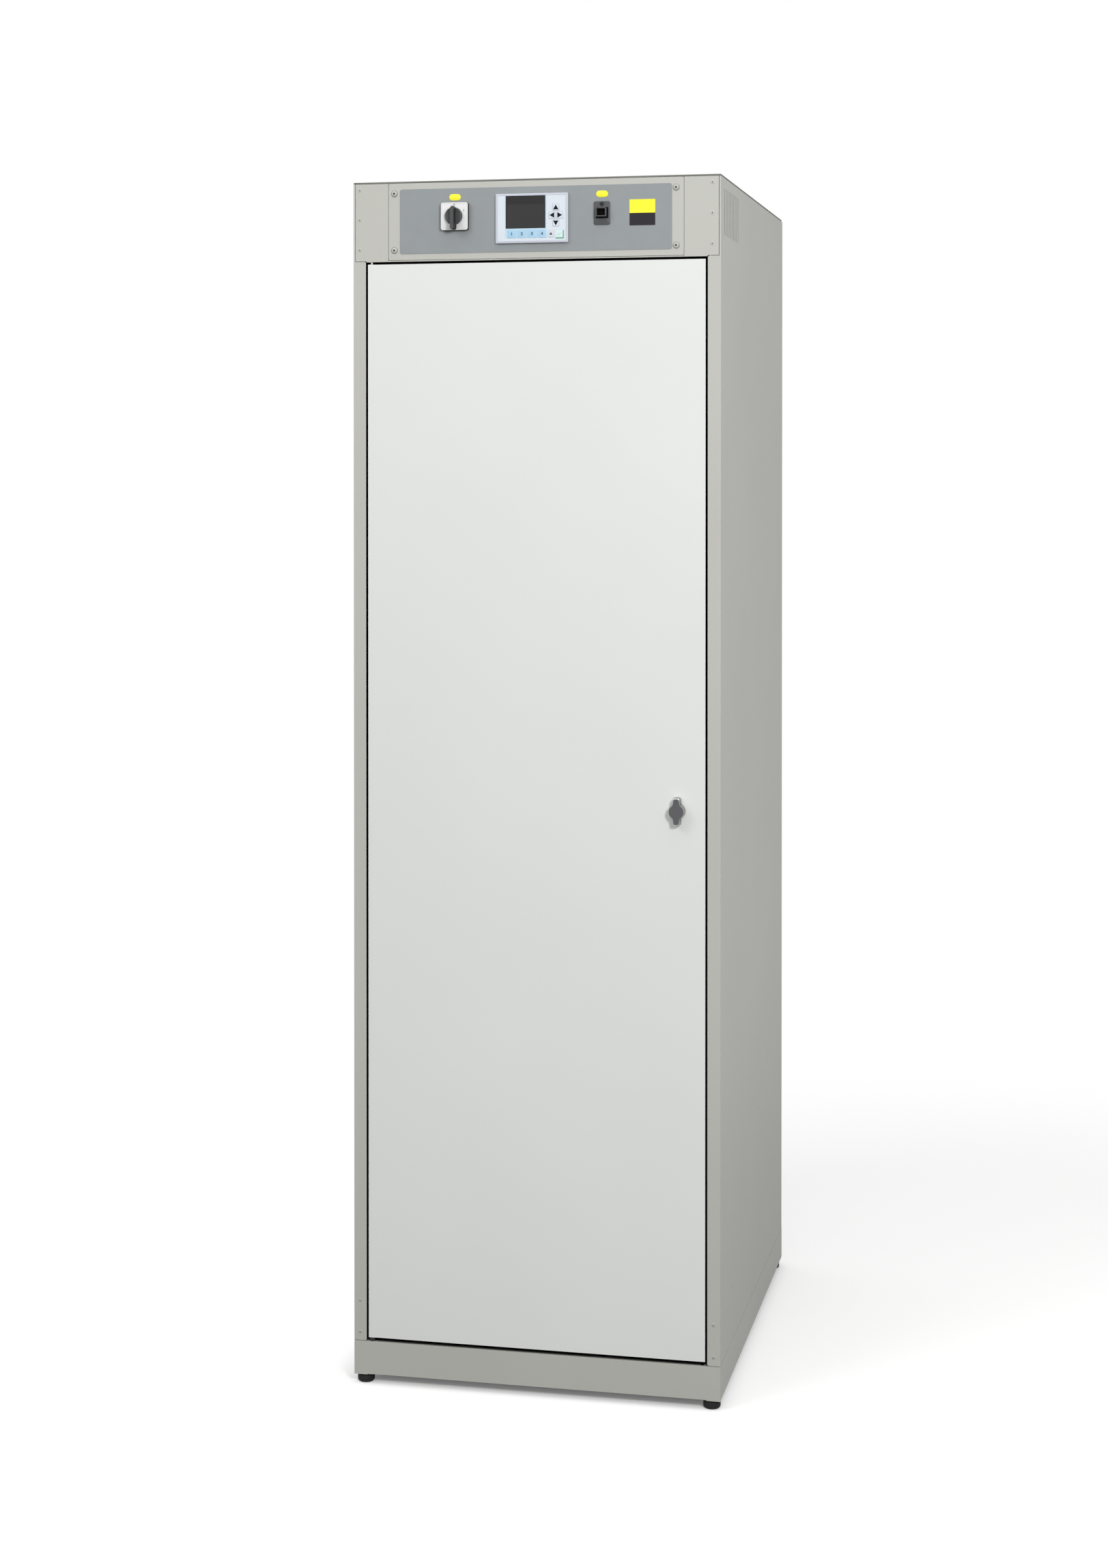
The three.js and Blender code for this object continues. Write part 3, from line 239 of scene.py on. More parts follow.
# what kinds of one material share, then what each has of its own
polyamide = {
    "cloud": 14, "grain": 0.7, "bump": (0.35, 0.05), "smoothest": 0.46, "roughest": 0.56, "ior": 1.53,
    "gloss": 0.5}
darkPolyamide = {**polyamide, "dark": "#343536", "light": "#3b3c3d"}  # glass-filled nylon of the switch knob
blackPolyamide = {
    **polyamide, "dark": "#18191a", "light": "#1e1f20", "smoothest": 0.55, "roughest": 0.65, "gloss": 0.35}
socketNylon = {**polyamide, "dark": "#3b3c3e", "light": "#424345", "bump": (0.35, 0.04)}
jackNylon = {
    **polyamide, "dark": "#060607", "light": "#0a0a0b", "bump": (0.35, 0.04), "smoothest": 0.6,
    "roughest": 0.7, "gloss": 0.06}
mouldedAbs = {
    "cloud": 30, "grain": 0.8, "bump": (0.35, 0.03), "smoothest": 0.4, "roughest": 0.48, "ior": 1.54,
    "gloss": 0.5}
whiteAbs = {**mouldedAbs, "dark": "#dadada", "light": "#e0e0e0"}
# cool grey of the display housing
lavenderAbs = {**mouldedAbs, "dark": "#bec2cd", "light": "#c5c8d2", "smoothest": 0.38, "roughest": 0.46}
greyAbs = {
    **mouldedAbs, "dark": "#8c9093", "light": "#96999c", "bump": (0.35, 0.04), "smoothest": 0.42,
    "roughest": 0.52}  # cases behind the panel


# Rubber cured in a mould (EPDM): near black, no shine, a dusty bloom in patches.
def mouldedRubber(name, slotName, look):
    material, tree, place = newMaterial(name, slotName)
    bloom = addNode(tree, "TexNoise", laid(place, look["bloom"], Detail=4.0))
    pores = addNode(tree, "TexNoise", laid(place, look["pores"], Detail=2.0))
    return addSurface(material, look, {"IOR": 1.52, "Specular IOR Level": look["gloss"]}, bloom, bloom, pores)


epdm = {"pores": 0.9, "bump": (0.5, 0.05), "smoothest": 0.68, "roughest": 0.86}
sealRubber = {**epdm, "dark": "#121213", "light": "#1b1b1c", "bloom": 12, "gloss": 0.3}
edgingRubber = {**epdm, "dark": "#020202", "light": "#050505", "bloom": 20, "gloss": 0.0}  # near-black strips that stand for the shade deep in the joints: painted shade
# grey rubber for the roof's edge trim, and for the painted shadow rings under the panel screws
trimRubber = {**epdm, "dark": "#6f6f6a", "light": "#777772", "bloom": 40, "gloss": 0.4}


# Stainless wire woven into filter gauze: a fine over-and-under grid, dull grey from a distance.
def wovenGauze(name, slotName, look):
    material, tree, place = newMaterial(name, slotName)
    scale = perMetre(look["wire"]) * math.pi / 10  # a wave node draws ten bands in pi units
    bands = [addNode(tree, "TexWave", {"Vector": place, "Scale": scale, "Distortion": 0.0},
                     bands_direction=axis) for axis in ("Y", "Z")]
    grid = addNode(tree, "Math", {0: bands[0].outputs["Fac"], 1: bands[1].outputs["Fac"]},
                   operation="MAXIMUM")
    return addSurface(material, look, {"Metallic": 0.3, "Roughness": 0.7, "Specular IOR Level": 0.2}, grid,
                      bumps=grid)


# a real mesh of 0.5 mm, drawn at 1.6
filterGauze = {"dark": "#20211f", "light": "#6b6c68", "wire": 1.6, "bump": (0.6, 0.3)}


# Polyester film printed on its back face: flat ink seen through a finely textured clear sheet.
def printedFilm(name, slotName, look):
    material, tree, place = newMaterial(name, slotName)
    ink = addNode(tree, "TexNoise", laid(place, look["ink"], Detail=3.0))
    weave = addNode(tree, "TexVoronoi", laid(place, look["texture"]))
    return addSurface(material, look, {"IOR": 1.57, "Specular IOR Level": look["gloss"]}, ink, ink,
                      weave.outputs["Distance"])


filmSheet = {"ink": 25, "texture": 0.7, "bump": (0.3, 0.02), "smoothest": 0.42, "roughest": 0.5}
inks = {  # material, slot, dark and light tone, gloss
    "film": ("texturedPolyesterFilm", "film", "#878c8e", "#8d9294", 0.5),
    "keypad": ("keypadFilm", "key_plastic", "#d0d8e1", "#d7dfe7", 0.5),
    "blueInk": ("lightBlueKeypadInk", "soft_key_plastic", "#9ec4df", "#a5cae4", 0.5),
    "paleInk": ("paleKeypadInk", "key_plastic", "#b6d2e4", "#bdd8e8", 0.5),
    "greyInk": ("greyKeypadInk", "key_plastic", "#a6aab8", "#adb1be", 0.5),
    "mintInk": ("mintKeypadInk", "key_plastic", "#cfe0e1", "#d6e6e6", 0.5),
    "greenInk": ("greenKeypadInk", "key_plastic", "#3f9a72", "#47a179", 0.5),
    "navyInk": ("navyKeypadInk", "key_plastic", "#0a0d13", "#10131a", 0.1),
    "yellowInk": ("yellowLabelFilm", "film", "#f7ef1c", "#fcf42a", 0.5),
    "darkInk": ("charcoalLabelFilm", "film", "#2a272c", "#302d32", 0.12),
    "markInk": ("greyMarkInk", "white_plastic", "#7c7d82", "#85868b", 0.5),
    "slateInk": ("slateKeypadInk", "key_plastic", "#2a3642", "#323e4a", 0.2),
    "softGreenInk": ("softGreenKeypadInk", "key_plastic", "#8fcbb5", "#97d1bc", 0.5),
}


# Clear acrylic window over an unlit display: near black behind a smooth sheet with a faint haze.
def acrylicWindow(name, slotName, look):
    material, tree, place = newMaterial(name, slotName)
    haze = addNode(tree, "TexNoise", laid(place, look["haze"], Detail=3.0))
    return addSurface(material, look, {"IOR": 1.49}, haze, haze)


acrylic = {"haze": 20, "smoothest": 0.16, "roughest": 0.26}
screenBorderLook = {**acrylic, "dark": "#0a1216", "light": "#0c1519"}
screenBarLook = {**acrylic, "dark": "#0d0d0e", "light": "#0f0f10"}
screenLook = {**acrylic, "dark": "#1e1e1e", "light": "#222222", "haze": 30}


# Mineral wool slab, spun and felted: matt ochre fibres in every direction.
def feltedWool(name, slotName, look):
    material, tree, place = newMaterial(name, slotName)
    clump = addNode(tree, "TexNoise", laid(place, look["clump"], Detail=6.0, Distortion=2.5))
    return addSurface(material, look, {"Roughness": 0.95, "IOR": 1.5}, clump, bumps=clump)


slabWool = {"dark": "#8f8154", "light": "#b7a976", "clump": 9, "bump": (0.9, 1.5)}

finish = {
    "casing": powderCoatedSteel("powderCoatedCasingSteel", "casing_paint", casingPaint),
    "door": powderCoatedSteel("powderCoatedDoorSteel", "door_paint", doorPaint),
    "stainless": rolledStainless("coldRolledStainless", "stainless", stainlessSheet),
    "sheath": rolledStainless("heatTintedStainless", "stainless", sheathSteel),
    "zinc": galvanisedSteel("galvanisedSheetSteel", "zinc_steel", dippedSheet),
    "plated": galvanisedSteel("zincPlatedSteel", "zinc_steel", platedScrews),
    "gold": galvanisedSteel("goldFlashedContacts", "zinc_steel", contactGold),
    "latch": satinZincCasting("nickelPlatedZincCasting", "die_cast", latchSides),
    "latchFace": satinZincCasting("wornNickelPlatedCasting", "die_cast", latchFace),
    "rubber": mouldedRubber("mouldedEpdmRubber", "rubber", sealRubber),
    "edging": mouldedRubber("blackFoamRubberStrip", "rubber", edgingRubber),
    "trim": mouldedRubber("greyEdgeTrimRubber", "rubber", trimRubber),
    "gauze": wovenGauze("wovenFilterGauze", "stainless", filterGauze),
    "knob": mouldedPlastic("glassFilledPolyamide", "black_plastic", darkPolyamide),
    "black": mouldedPlastic("blackPolyamide", "black_plastic", blackPolyamide),
    "socket": mouldedPlastic("greyPolyamide", "grey_plastic", socketNylon),
    "jack": mouldedPlastic("blackJackPolyamide", "black_plastic", jackNylon),
    "white": mouldedPlastic("whiteAbs", "white_plastic", whiteAbs),
    "bezel": mouldedPlastic("lavenderGreyAbs", "bezel_plastic", lavenderAbs),
    "case": mouldedPlastic("greyAbs", "grey_plastic", greyAbs),
    "screenEdge": acrylicWindow("backPrintedScreenBorder", "screen", screenBorderLook),
    "screenBar": acrylicWindow("darkScreenStrip", "screen", screenBarLook),
    "screen": acrylicWindow("acrylicScreenWindow", "screen", screenLook),
    "wool": feltedWool("mineralWoolFelt", "mineral_wool", slabWool),
}
for key, (name, slotName, dark, light, gloss) in inks.items():
    finish[key] = printedFilm(name, slotName, {**filmSheet, "dark": dark, "light": light, "gloss": gloss})
print("materials made:", len(finish))


# shape tools: a shape is a list of points and a list of faces, and an outline a list of flat points
def roundedRectangle(width, height, radius, steps=6):
    points = []
    for quarter in range(4):
        x = (width / 2 - radius) * (1, -1, -1, 1)[quarter]
        y = (height / 2 - radius) * (1, 1, -1, -1)[quarter]
        for step in range(steps + 1):
            turn = math.radians(90 * (quarter + step / steps))
            points.append((x + radius * math.cos(turn), y + radius * math.sin(turn)))
    return points


def ring(radius, steps):
    return [(radius * math.cos(2 * math.pi * i / steps), radius * math.sin(2 * math.pi * i / steps))
            for i in range(steps)]


def hexagon(acrossFlats, perSide=8):
    corners = [(acrossFlats / math.sqrt(3) * math.cos(math.radians(60 * i)),
                acrossFlats / math.sqrt(3) * math.sin(math.radians(60 * i))) for i in range(7)]
    return [(a[0] + (b[0] - a[0]) * s / perSide, a[1] + (b[1] - a[1]) * s / perSide)
            for a, b in zip(corners, corners[1:]) for s in range(perSide)]


# The faces between two rings of points, by the number of each ring's first point.
def band(low, high, count):
    return [[low + i, low + (i + 1) % count, high + (i + 1) % count, high + i] for i in range(count)]


# A skin over rings of points that stand in space: closed at both ends, or round to the first ring again.
def skinned(rings, loop=False):
    count, last = len(rings[0]), len(rings) - 1
    pairs = [(r, r + 1) for r in range(last)] + ([(last, 0)] if loop else [])
    faces = [face for a, b in pairs for face in band(a * count, b * count, count)]
    if not loop:
        faces += [list(reversed(range(count))), [last * count + i for i in range(count)]]
    return [point for one in rings for point in one], faces


def lofted(rings, loop=False):
    return skinned([[(x, y, level) for x, y in outline] for outline, level in rings], loop)


# Rounded rectangles in a stack: each step says how much smaller it is, its corner radius and its level.
def stepped(wide, high, steps, curve=6):
    return lofted([(roundedRectangle(wide - cut, high - cut, corner, curve), level)
                   for cut, corner, level in steps])


def slab(outline, low, high, holes=()):
    if not holes:
        return lofted([(outline, low), (outline, high)])
    edges = [outline, *holes]
    flat = [point for edge in edges for point in edge]
    fill = tessellate_polygon([[Vector((x, y, 0)) for x, y in edge] for edge in edges])
    faces = [list(face) for face in fill] + [[i + len(flat) for i in face] for face in fill]
    first = 0
    for edge in edges:
        faces += band(first, first + len(flat), len(edge))
        first += len(edge)
    return [(x, y, low) for x, y in flat] + [(x, y, high) for x, y in flat], faces


def turned(profile, steps=64, loop=False):
    return lofted([(ring(radius, steps), level) for radius, level in profile], loop)


def socketHead(profile, across, deep):
    top = profile[-1][1]
    return lofted([(ring(radius, 48), level) for radius, level in profile]
                  + [(hexagon(across), top), (hexagon(across), top - deep)])


def tube(path, radius, sides=8):
    rings, across = [], None
    for i, point in enumerate(path):
        ahead = (Vector(path[min(i + 1, len(path) - 1)]) - Vector(path[max(i - 1, 0)])).normalized()
        across = (ahead.orthogonal() if across is None else across - across.dot(ahead) * ahead).normalized()
        up = ahead.cross(across)
        rings.append([tuple(Vector(point) + radius * (math.cos(a) * across + math.sin(a) * up))
                      for a in (2 * math.pi * s / sides for s in range(sides))])
    return skinned(rings)


# printed digits: their height as a share of the type's size, how thick and how much bolder they are printed
digitShape = {"share": 0.7, "thick": 0.04, "bolder": 0.05, "curve": 6}


# A line of text as a flat shape, its middle at x and y and its back at this level.
def textShape(text, height, x, y, level, look=digitShape):
    glyph = bpy.data.curves.new("mark", "FONT")
    glyph.body, glyph.size = text, height / look["share"]
    glyph.extrude, glyph.offset = look["thick"], look["bolder"] * height
    glyph.align_x, glyph.align_y, glyph.resolution_u = "CENTER", "CENTER", look["curve"]
    sample = bpy.data.objects.new("mark", glyph)
    mesh = sample.to_mesh()
    shape = ([(v.co.x + x, v.co.y + y, v.co.z + level) for v in mesh.vertices],
             [list(p.vertices) for p in mesh.polygons])
    sample.to_mesh_clear()
    bpy.data.objects.remove(sample)
    return shape


def shifted(outline, x, y):
    return [(px + x, py + y) for px, py in outline]


def moved(shape, matrix):
    return [tuple(matrix @ Vector(point)) for point in shape[0]], shape[1]


def joined(*shapes):
    points, faces = [], []
    for shapePoints, shapeFaces in shapes:
        faces += [[i + len(points) for i in face] for face in shapeFaces]
        points += shapePoints
    return points, faces


# A shape's own axes on each side of the cabinet, where its Z points out of that side.
sideAxes = {
    "front": ((1, 0, 0), (0, 0, -1), (0, 1, 0)), "back": ((-1, 0, 0), (0, 0, 1), (0, 1, 0)),
    "right": ((0, 0, 1), (1, 0, 0), (0, 1, 0)), "left": ((0, 0, -1), (-1, 0, 0), (0, 1, 0)),
    "up": ((1, 0, 0), (0, 1, 0), (0, 0, 1))}


def facing(side, x, y, z=0):
    return Matrix.Translation((x, y, z)) @ Matrix(sideAxes[side]).to_4x4()


asBuilt = Matrix.Identity(4)  # for shapes that are made where they stand


def spanOf(node):
    low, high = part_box(node)
    return low / mm, high / mm


def middleOf(node):
    low, high = spanOf(node)
    return (low + high) / 2


def pieceName(node):
    first, *others = node.split("_")
    return first + "".join(other.capitalize() for other in others)


def roundEdges(piece, radius, steps=2, weld=False, above=30):
    if weld:  # the frame's meshes come with their faces apart
        piece.modifiers.new("weld", "WELD").merge_threshold = 0.02 * mm
    bevel = piece.modifiers.new("roundEdges", "BEVEL")
    bevel.width, bevel.segments, bevel.limit_method = radius * mm, steps, "ANGLE"
    bevel.angle_limit = math.radians(above)
    piece.modifiers.new("flatFaces", "WEIGHTED_NORMAL").keep_sharp = False


def addPiece(name, shape, place, body, look, replaced=(), edge=0.0, steps=2, sharpAbove=35):
    points, faces = shape
    mesh = bpy.data.meshes.new(name)
    mesh.from_pydata([(place @ Vector(point)) * mm for point in points], [], faces)
    shell = bmesh.new()
    shell.from_mesh(mesh)
    bmesh.ops.recalc_face_normals(shell, faces=shell.faces)
    for face in shell.faces:
        face.smooth = True
    for line in shell.edges:
        line.smooth = len(line.link_faces) == 2 and line.calc_face_angle(0) < math.radians(sharpAbove)
    shell.to_mesh(mesh)
    shell.free()
    mesh.materials.append(finish[look])
    piece = bpy.data.objects.new(name, mesh)
    scene.collection.objects.link(piece)
    if edge:
        roundEdges(piece, edge, steps)
    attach(piece, body)
    if replaced:
        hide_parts(*replaced)


# sheet metal and other CAD pieces that stay: their finish, and the radius left on their edges
kept = {
    "casing": {"base_frame": 0.9, "left_side_panel": 0.9, "right_side_panel": 0.9, "back_panel": 0.8,
               "roof_panel": 1.0, "header_frame": 0.35},
    "door": {"door_skin": 0.7},
    "film": {"control_film": 0},
    "stainless": {"inner_liner": 0.4, "chamber_floor": 0.3, "door_inner_panel": 0.4, "left_rack_support": 0.6,
                  "right_rack_support": 0.6, "lower_boot_rack": 0.9, "upper_boot_rack": 0.9},
    "zinc": {"stop_frame": 0.5, "compartment_floor": 0.4, "heater_duct": 0.4, "mounting_rail": 0.4,
             "fan_motor": 0.5},
    "plated": {"latch_cam": 0.5},
    "sheath": {"heater_element": 0},
    "black": {"fan_housing": 0.8},
    "case": {"display_rear_case": 1.2, "controller_module": 1.2, "terminal_block": 0.8},
    "wool": {"insulation_jacket": 0, "door_core": 0},
}
for coat, nodes in kept.items():
    for node, radius in nodes.items():
        piece = frame["nodes"][node]
        piece.material_slots[0].material = finish[coat]
        if radius:
            roundEdges(piece, radius, weld=True)
print("CAD pieces dressed:", sum(len(nodes) for nodes in kept.values()))


# feet: a moulded rubber disc on a plated stud
footShape = {
    "disc": [(10.6, 0), (12.4, 0.5), (13.8, 1.6), (14.7, 3.1), (15, 4.8), (15, 11.8), (14.6, 13),
        (13.6, 13.6), (12.6, 13.8), (12.4, 15.7)],
    "stud": [(3.4, 15.5), (4, 16), (4, 43), (3.2, 43.7)]}
for node in ("front_left_foot", "front_right_foot", "rear_left_foot", "rear_right_foot"):
    at = facing("up", *middleOf(node).xy)
    addPiece(pieceName(node), turned(footShape["disc"]), at, "cabinet", "rubber", [node])
    addPiece(pieceName(node) + "Stud", turned(footShape["stud"], 32), at, "cabinet", "plated", [node])
print("feet made")


# hinges: turned pins that run in nylon bushes; the lower bush has a collar that carries the door
hingeShape = {
    "pin": 2.5, "pinChamfer": 0.7, "bore": 2.75, "wall": 3.6, "collar": 6, "collarHeight": 6.1,
    "bushEdge": 0.2, "collarEdges": (0.8, 0.6)}


def makeHinges(look):
    pin, chamfer, bore, wall, rim = (look[key] for key in ("pin", "pinChamfer", "bore", "wall", "collar"))
    edge, (under, over) = look["bushEdge"], look["collarEdges"]
    for end in ("top", "bottom"):
        node, bush = end + "_hinge_pin", end + "_hinge_bush"
        at = facing("up", *middleOf(node).xy)
        low, high = (corner.z for corner in spanOf(node))
        rod = [(pin - chamfer, low), (pin, low + chamfer), (pin, high - chamfer), (pin - chamfer, high)]
        addPiece(pieceName(node), turned(rod, 32), at, "cabinet", "plated", [node])
        low, high = (corner.z for corner in spanOf(bush))
        collar = low + look["collarHeight"]
        profile = {"top": [(bore, low), (wall, low), (wall, high - edge), (wall - edge, high), (bore, high)],
                   "bottom": [(bore, low), (rim - under, low), (rim, low + under), (rim, collar - over),
                              (rim - over, collar), (wall, collar), (wall, high), (bore, high)]}[end]
        addPiece(pieceName(bush), turned(profile, 48, loop=True), at, "door", "black", [bush])


makeHinges(hingeShape)


# door seal: an extruded bulb in a ring round the inner panel; its section is inset and level from the panel
sealShape = {
    "corner": 10,
    "section": [(0.4, 5.7), (0, 5.3), (0, 4.6), (1.2, 4.1), (0.3, 3.1), (0.1, 2.0), (0.6, 0.9), (1.7, 0.2),
        (3.4, 0), (5.0, 0.3), (6.0, 1.2), (6.3, 2.4), (5.9, 3.5), (5.2, 4.2), (8, 4.6), (8, 5.4),
        (7.7, 5.7)]}


def makeSeal(look):
    low, high = spanOf("door_seal")
    width, height, centre = high.x - low.x, high.z - low.z, middleOf("door_seal")
    rings = [(roundedRectangle(width - 2 * inset, height - 2 * inset, look["corner"] - inset, 5), level)
             for inset, level in look["section"]]
    addPiece("doorSeal", lofted(rings, loop=True), facing("front", centre.x, high.y, centre.z), "door",
             "rubber", ["door_seal"], sharpAbove=50)


makeSeal(sealShape)


# black strips in the joint round the door, painted shade for the dark depth of the joint: on the door's own
# edge and under it, on the posts and the rail, and before the stop. Their thin lip laps over the paint, so
# the joint reads as one dark line.
edgingShape = {
    "doorThick": 0.3, "frameThick": 0.4, "front": 415, "rear": 402, "frameRear": 386.2, "lip": 0.35,
    "lipThick": 0.15, "pinClear": 3.9, "collarClear": 7, "sweep": 3, "sweepRear": 409, "ringSide": 4.2,
    "ringEnd": 6, "ringThick": 1.3, "footGap": 1, "stopGap": 0.1}


def bar(left, right, low, high, near, far):
    return slab([(left, low), (right, low), (right, high), (left, high)], near, far)


# Each strip is its four edges and the side its lip laps to: -1 or 1 across, -1 or 1 up and down.
def edgingStrips(look, rear, strips):
    shapes, lip, front = [], look["lip"], look["front"]
    for left, right, low, high, across, up in strips:
        shapes.append(bar(left, right, low, high, rear, front))
        shapes.append(bar(left + min(across, 0) * lip, right + max(across, 0) * lip, low + min(up, 0) * lip,
                          high + max(up, 0) * lip, front, front + look["lipThick"]))
    return joined(*shapes)


def makeEdging(look):
    low, high = spanOf("door_skin")
    pin, clear, thick = middleOf("top_hinge_pin").x, look["pinClear"], look["doorThick"]
    strips = [(low.x - thick, low.x, low.z, high.z, 1, 0),
              (high.x, high.x + thick, low.z, high.z + thick, -1, 0),
              (low.x, pin - clear, high.z, high.z + thick, 0, -1),
              (pin + clear, high.x, high.z, high.z + thick, 0, -1)]
    sweep = [(pin + look["collarClear"], high.x, low.z - look["sweep"], low.z, 0, 1)]
    # painted shade: black strips in the door's joints, and one under the door
    addPiece("doorEdging", joined(edgingStrips(look, look["rear"], strips),
                                  edgingStrips(look, look["sweepRear"], sweep)),
             facing("front", 0, 0, 0), "door", "edging")
    half, bottom = spanOf("right_side_panel")[0].x, spanOf("right_side_panel")[0].z + look["footGap"]
    top, thick = spanOf("header_frame")[0].z, look["frameThick"]
    strips = [(-half, thick - half, bottom, top, -1, 0), (half - thick, half, bottom, top, 1, 0),
              (thick - half, pin - clear, top - thick, top, 0, 1),
              (pin + clear, half - thick, top - thick, top, 0, 1)]
    width, stop = half - thick, look["stopGap"] - spanOf("stop_frame")[0].y
    inner, end = width - look["ringSide"], look["ringEnd"]
    hole = [(-inner, bottom + end), (inner, bottom + end), (inner, top - end), (-inner, top - end)]
    outline = [(-width, bottom), (width, bottom), (width, top - thick), (-width, top - thick)]
    # painted shade: a black ring before the stop, at the back of the joint
    ringSlab = slab(outline, stop, stop + look["ringThick"], [hole])
    addPiece("frameEdging", joined(edgingStrips(look, look["frameRear"], strips), ringSlab),
             facing("front", 0, 0, 0), "cabinet", "edging")


makeEdging(edgingShape)
print("hinges, seal and edging made")


# latch: cast wing knob on a flanged housing
latchShape = {
    "disc": 13.8, "neck": 6.5, "tip": 5.9, "reach": 23.5, "fillet": 4, "corner": 1.6, "draft": 0.6,
    "chamfer": 1.0, "edge": 0.4, "seat": 417.1, "faceInset": 0.1, "faceThick": 0.4, "flange": 12.5,
    "barrel": 10, "nutWidth": 24, "spindle": 4, "faceProud": 0.05, "spindleEnd": (0.4, 0.6),
    "spindleInto": 0.2, "boreClear": 0.6, "doorGap": 0.3, "nutLevels": (0.4, 4.9),
    "flangeRim": [(0.1, 0), (0, 0.3)], "flangeFace": [(0, 0.6), (0.5, 0.1), (1.2, 0)]}


# One wing's side, from the disc's widest point round the hollow of the neck to the tip.
def wingSide(disc, neck, tip, reach, fillet, corner, steps=7):
    rise = math.sqrt((disc + fillet) ** 2 - (neck + fillet) ** 2)
    meet = math.atan2(rise, neck + fillet)
    turns = [meet * s / steps for s in range(steps + 1)]
    arc = [(disc * math.cos(turn), disc * math.sin(turn)) for turn in turns]
    hollow = [(neck + fillet - fillet * math.cos(turn), rise - fillet * math.sin(turn))
              for turn in reversed(turns[:-1])]
    cut = 0.3 * corner  # the middle point of a rounded corner
    return arc + hollow + [(tip, reach - corner), (tip - cut, reach - cut), (tip - corner, reach)]


# The knob's outline. An inset takes the disc, the neck and the tip in a little less than the reach.
def wingOutline(look, inset):
    side = wingSide(look["disc"] - inset * 0.6, look["neck"] - inset * 0.65, look["tip"] - inset * 0.75,
                    look["reach"] - inset, look["fillet"], look["corner"])
    right = [(x, -y) for x, y in reversed(side[1:])] + side
    return right + [(-x, y) for x, y in reversed(right)]


def makeLatch(look):
    low, high = spanOf("latch_knob")
    middle, seat = middleOf("latch_knob"), look["seat"]
    centre = facing("front", middle.x, -seat, middle.z)
    height, draft, chamfer = -seat - low.y, look["draft"], look["chamfer"]
    body = lofted([(wingOutline(look, 0), 0), (wingOutline(look, draft), height - chamfer),
                   (wingOutline(look, draft + chamfer), height - look["faceProud"])])
    addPiece("latchKnob", body, centre, "latch", "latch", ["latch_knob"], edge=look["edge"], steps=3)
    face = slab(wingOutline(look, draft + chamfer + look["faceInset"]), height - look["faceThick"], height)
    addPiece("latchKnobFace", face, centre, "latch", "latchFace", ["latch_knob"])
    spindle, tail, (narrow, taper) = look["spindle"], -(high.y + seat), look["spindleEnd"]
    shaft = turned([(spindle - narrow, tail), (spindle, tail + taper), (spindle, look["spindleInto"])], 32)
    addPiece("latchSpindle", shaft, centre, "latch", "plated", ["latch_knob"])
    front, rear = spanOf("latch_housing")
    flange, barrel, bore = look["flange"], look["barrel"], spindle + look["boreClear"]
    back, door, face = -rear.y, look["doorGap"] - spanOf("door_skin")[0].y, -front.y
    housing = [(barrel, back), (barrel, door)] + [(flange - cut, door + up) for cut, up in look["flangeRim"]]
    housing += [(flange - cut, face - down) for cut, down in look["flangeFace"]]
    housing += [(bore, face), (bore, back)]
    at = facing("front", middle.x, 0, middle.z)
    addPiece("latchHousing", turned(housing, 64, loop=True), at, "door", "latch", ["latch_housing"])
    levels = [back + level for level in look["nutLevels"]]
    nut = slab(hexagon(look["nutWidth"], 1), *levels, [ring(barrel, 48)])
    addPiece("latchNut", nut, at, "door", "plated", ["latch_housing"], edge=0.4)


makeLatch(latchShape)
print("latch made")


# control plate: folded steel cut out for what stands on it, held by four button-head screws
plateShape = {
    "corner": 3, "edge": 0.4, "rear": 413, "front": 415, "neckHole": 11.3, "caseHole": (118.6, 76.1, 1),
    "socketHole": (20.6, 24.6, 1)}
screwShape = {
    "insets": (10.4, 13.2), "levels": (2087.8, 1989.1), "seat": 415.2, "socket": 3.5, "socketDepth": 1.2,
    "plugClear": 0.1, "plugLevels": (-0.1, 0.4),
    "washer": [(5.3, -0.2), (5.75, -0.1), (5.75, 0.2), (5.3, 0.3)],
    "head": [(5.0, 0), (5.0, 0.5), (4.86, 1.0), (4.5, 1.5), (3.9, 1.95), (3.1, 2.25), (2.4, 2.4)]}
panelPlaces = {"switch": (-140.5, 2045.7), "display": (-3.8, 2039.9), "socket": (119, 2046.5)}


def makeControlPlate(look, screw, places):
    low, high = spanOf("control_plate")
    centre = middleOf("control_plate")
    holes = [ring(look["neckHole"], 40), roundedRectangle(*look["caseHole"]),
             roundedRectangle(*look["socketHole"])]
    holes = [shifted(hole, x - centre.x, z - centre.z) for hole, (x, z) in zip(holes, places.values())]
    outline = roundedRectangle(high.x - low.x, high.z - low.z, look["corner"])
    at = facing("front", centre.x, 0, centre.z)
    addPiece("controlPlate", slab(outline, look["rear"], look["front"], holes), at, "cabinet", "casing",
             ["control_plate"], edge=look["edge"])
    # each screw gets a black plug deep in its socket, painted shade, and a grey ring under its head, painted
    # shadow
    head = socketHead(screw["head"], screw["socket"], screw["socketDepth"])
    floor = screw["head"][-1][1] - screw["socketDepth"]
    levels = [floor + level for level in screw["plugLevels"]]
    plug = slab(hexagon(screw["socket"] - screw["plugClear"]), *levels)
    across = (low.x + screw["insets"][0], high.x - screw["insets"][1])
    spots = [(x, z) for x in across for z in screw["levels"]]
    for i, (x, z) in enumerate(spots, 1):
        at = facing("front", x, -screw["seat"], z)
        addPiece(f"panelScrew{i}", head, at, "cabinet", "casing", ["control_plate"])
        addPiece(f"panelScrewSocketShade{i}", plug, at, "cabinet", "black", ["control_plate"])
        addPiece(f"panelScrewShadowRing{i}", turned(screw["washer"], 48), at, "cabinet", "trim")


makeControlPlate(plateShape, screwShape, panelPlaces)
print("control plate made")


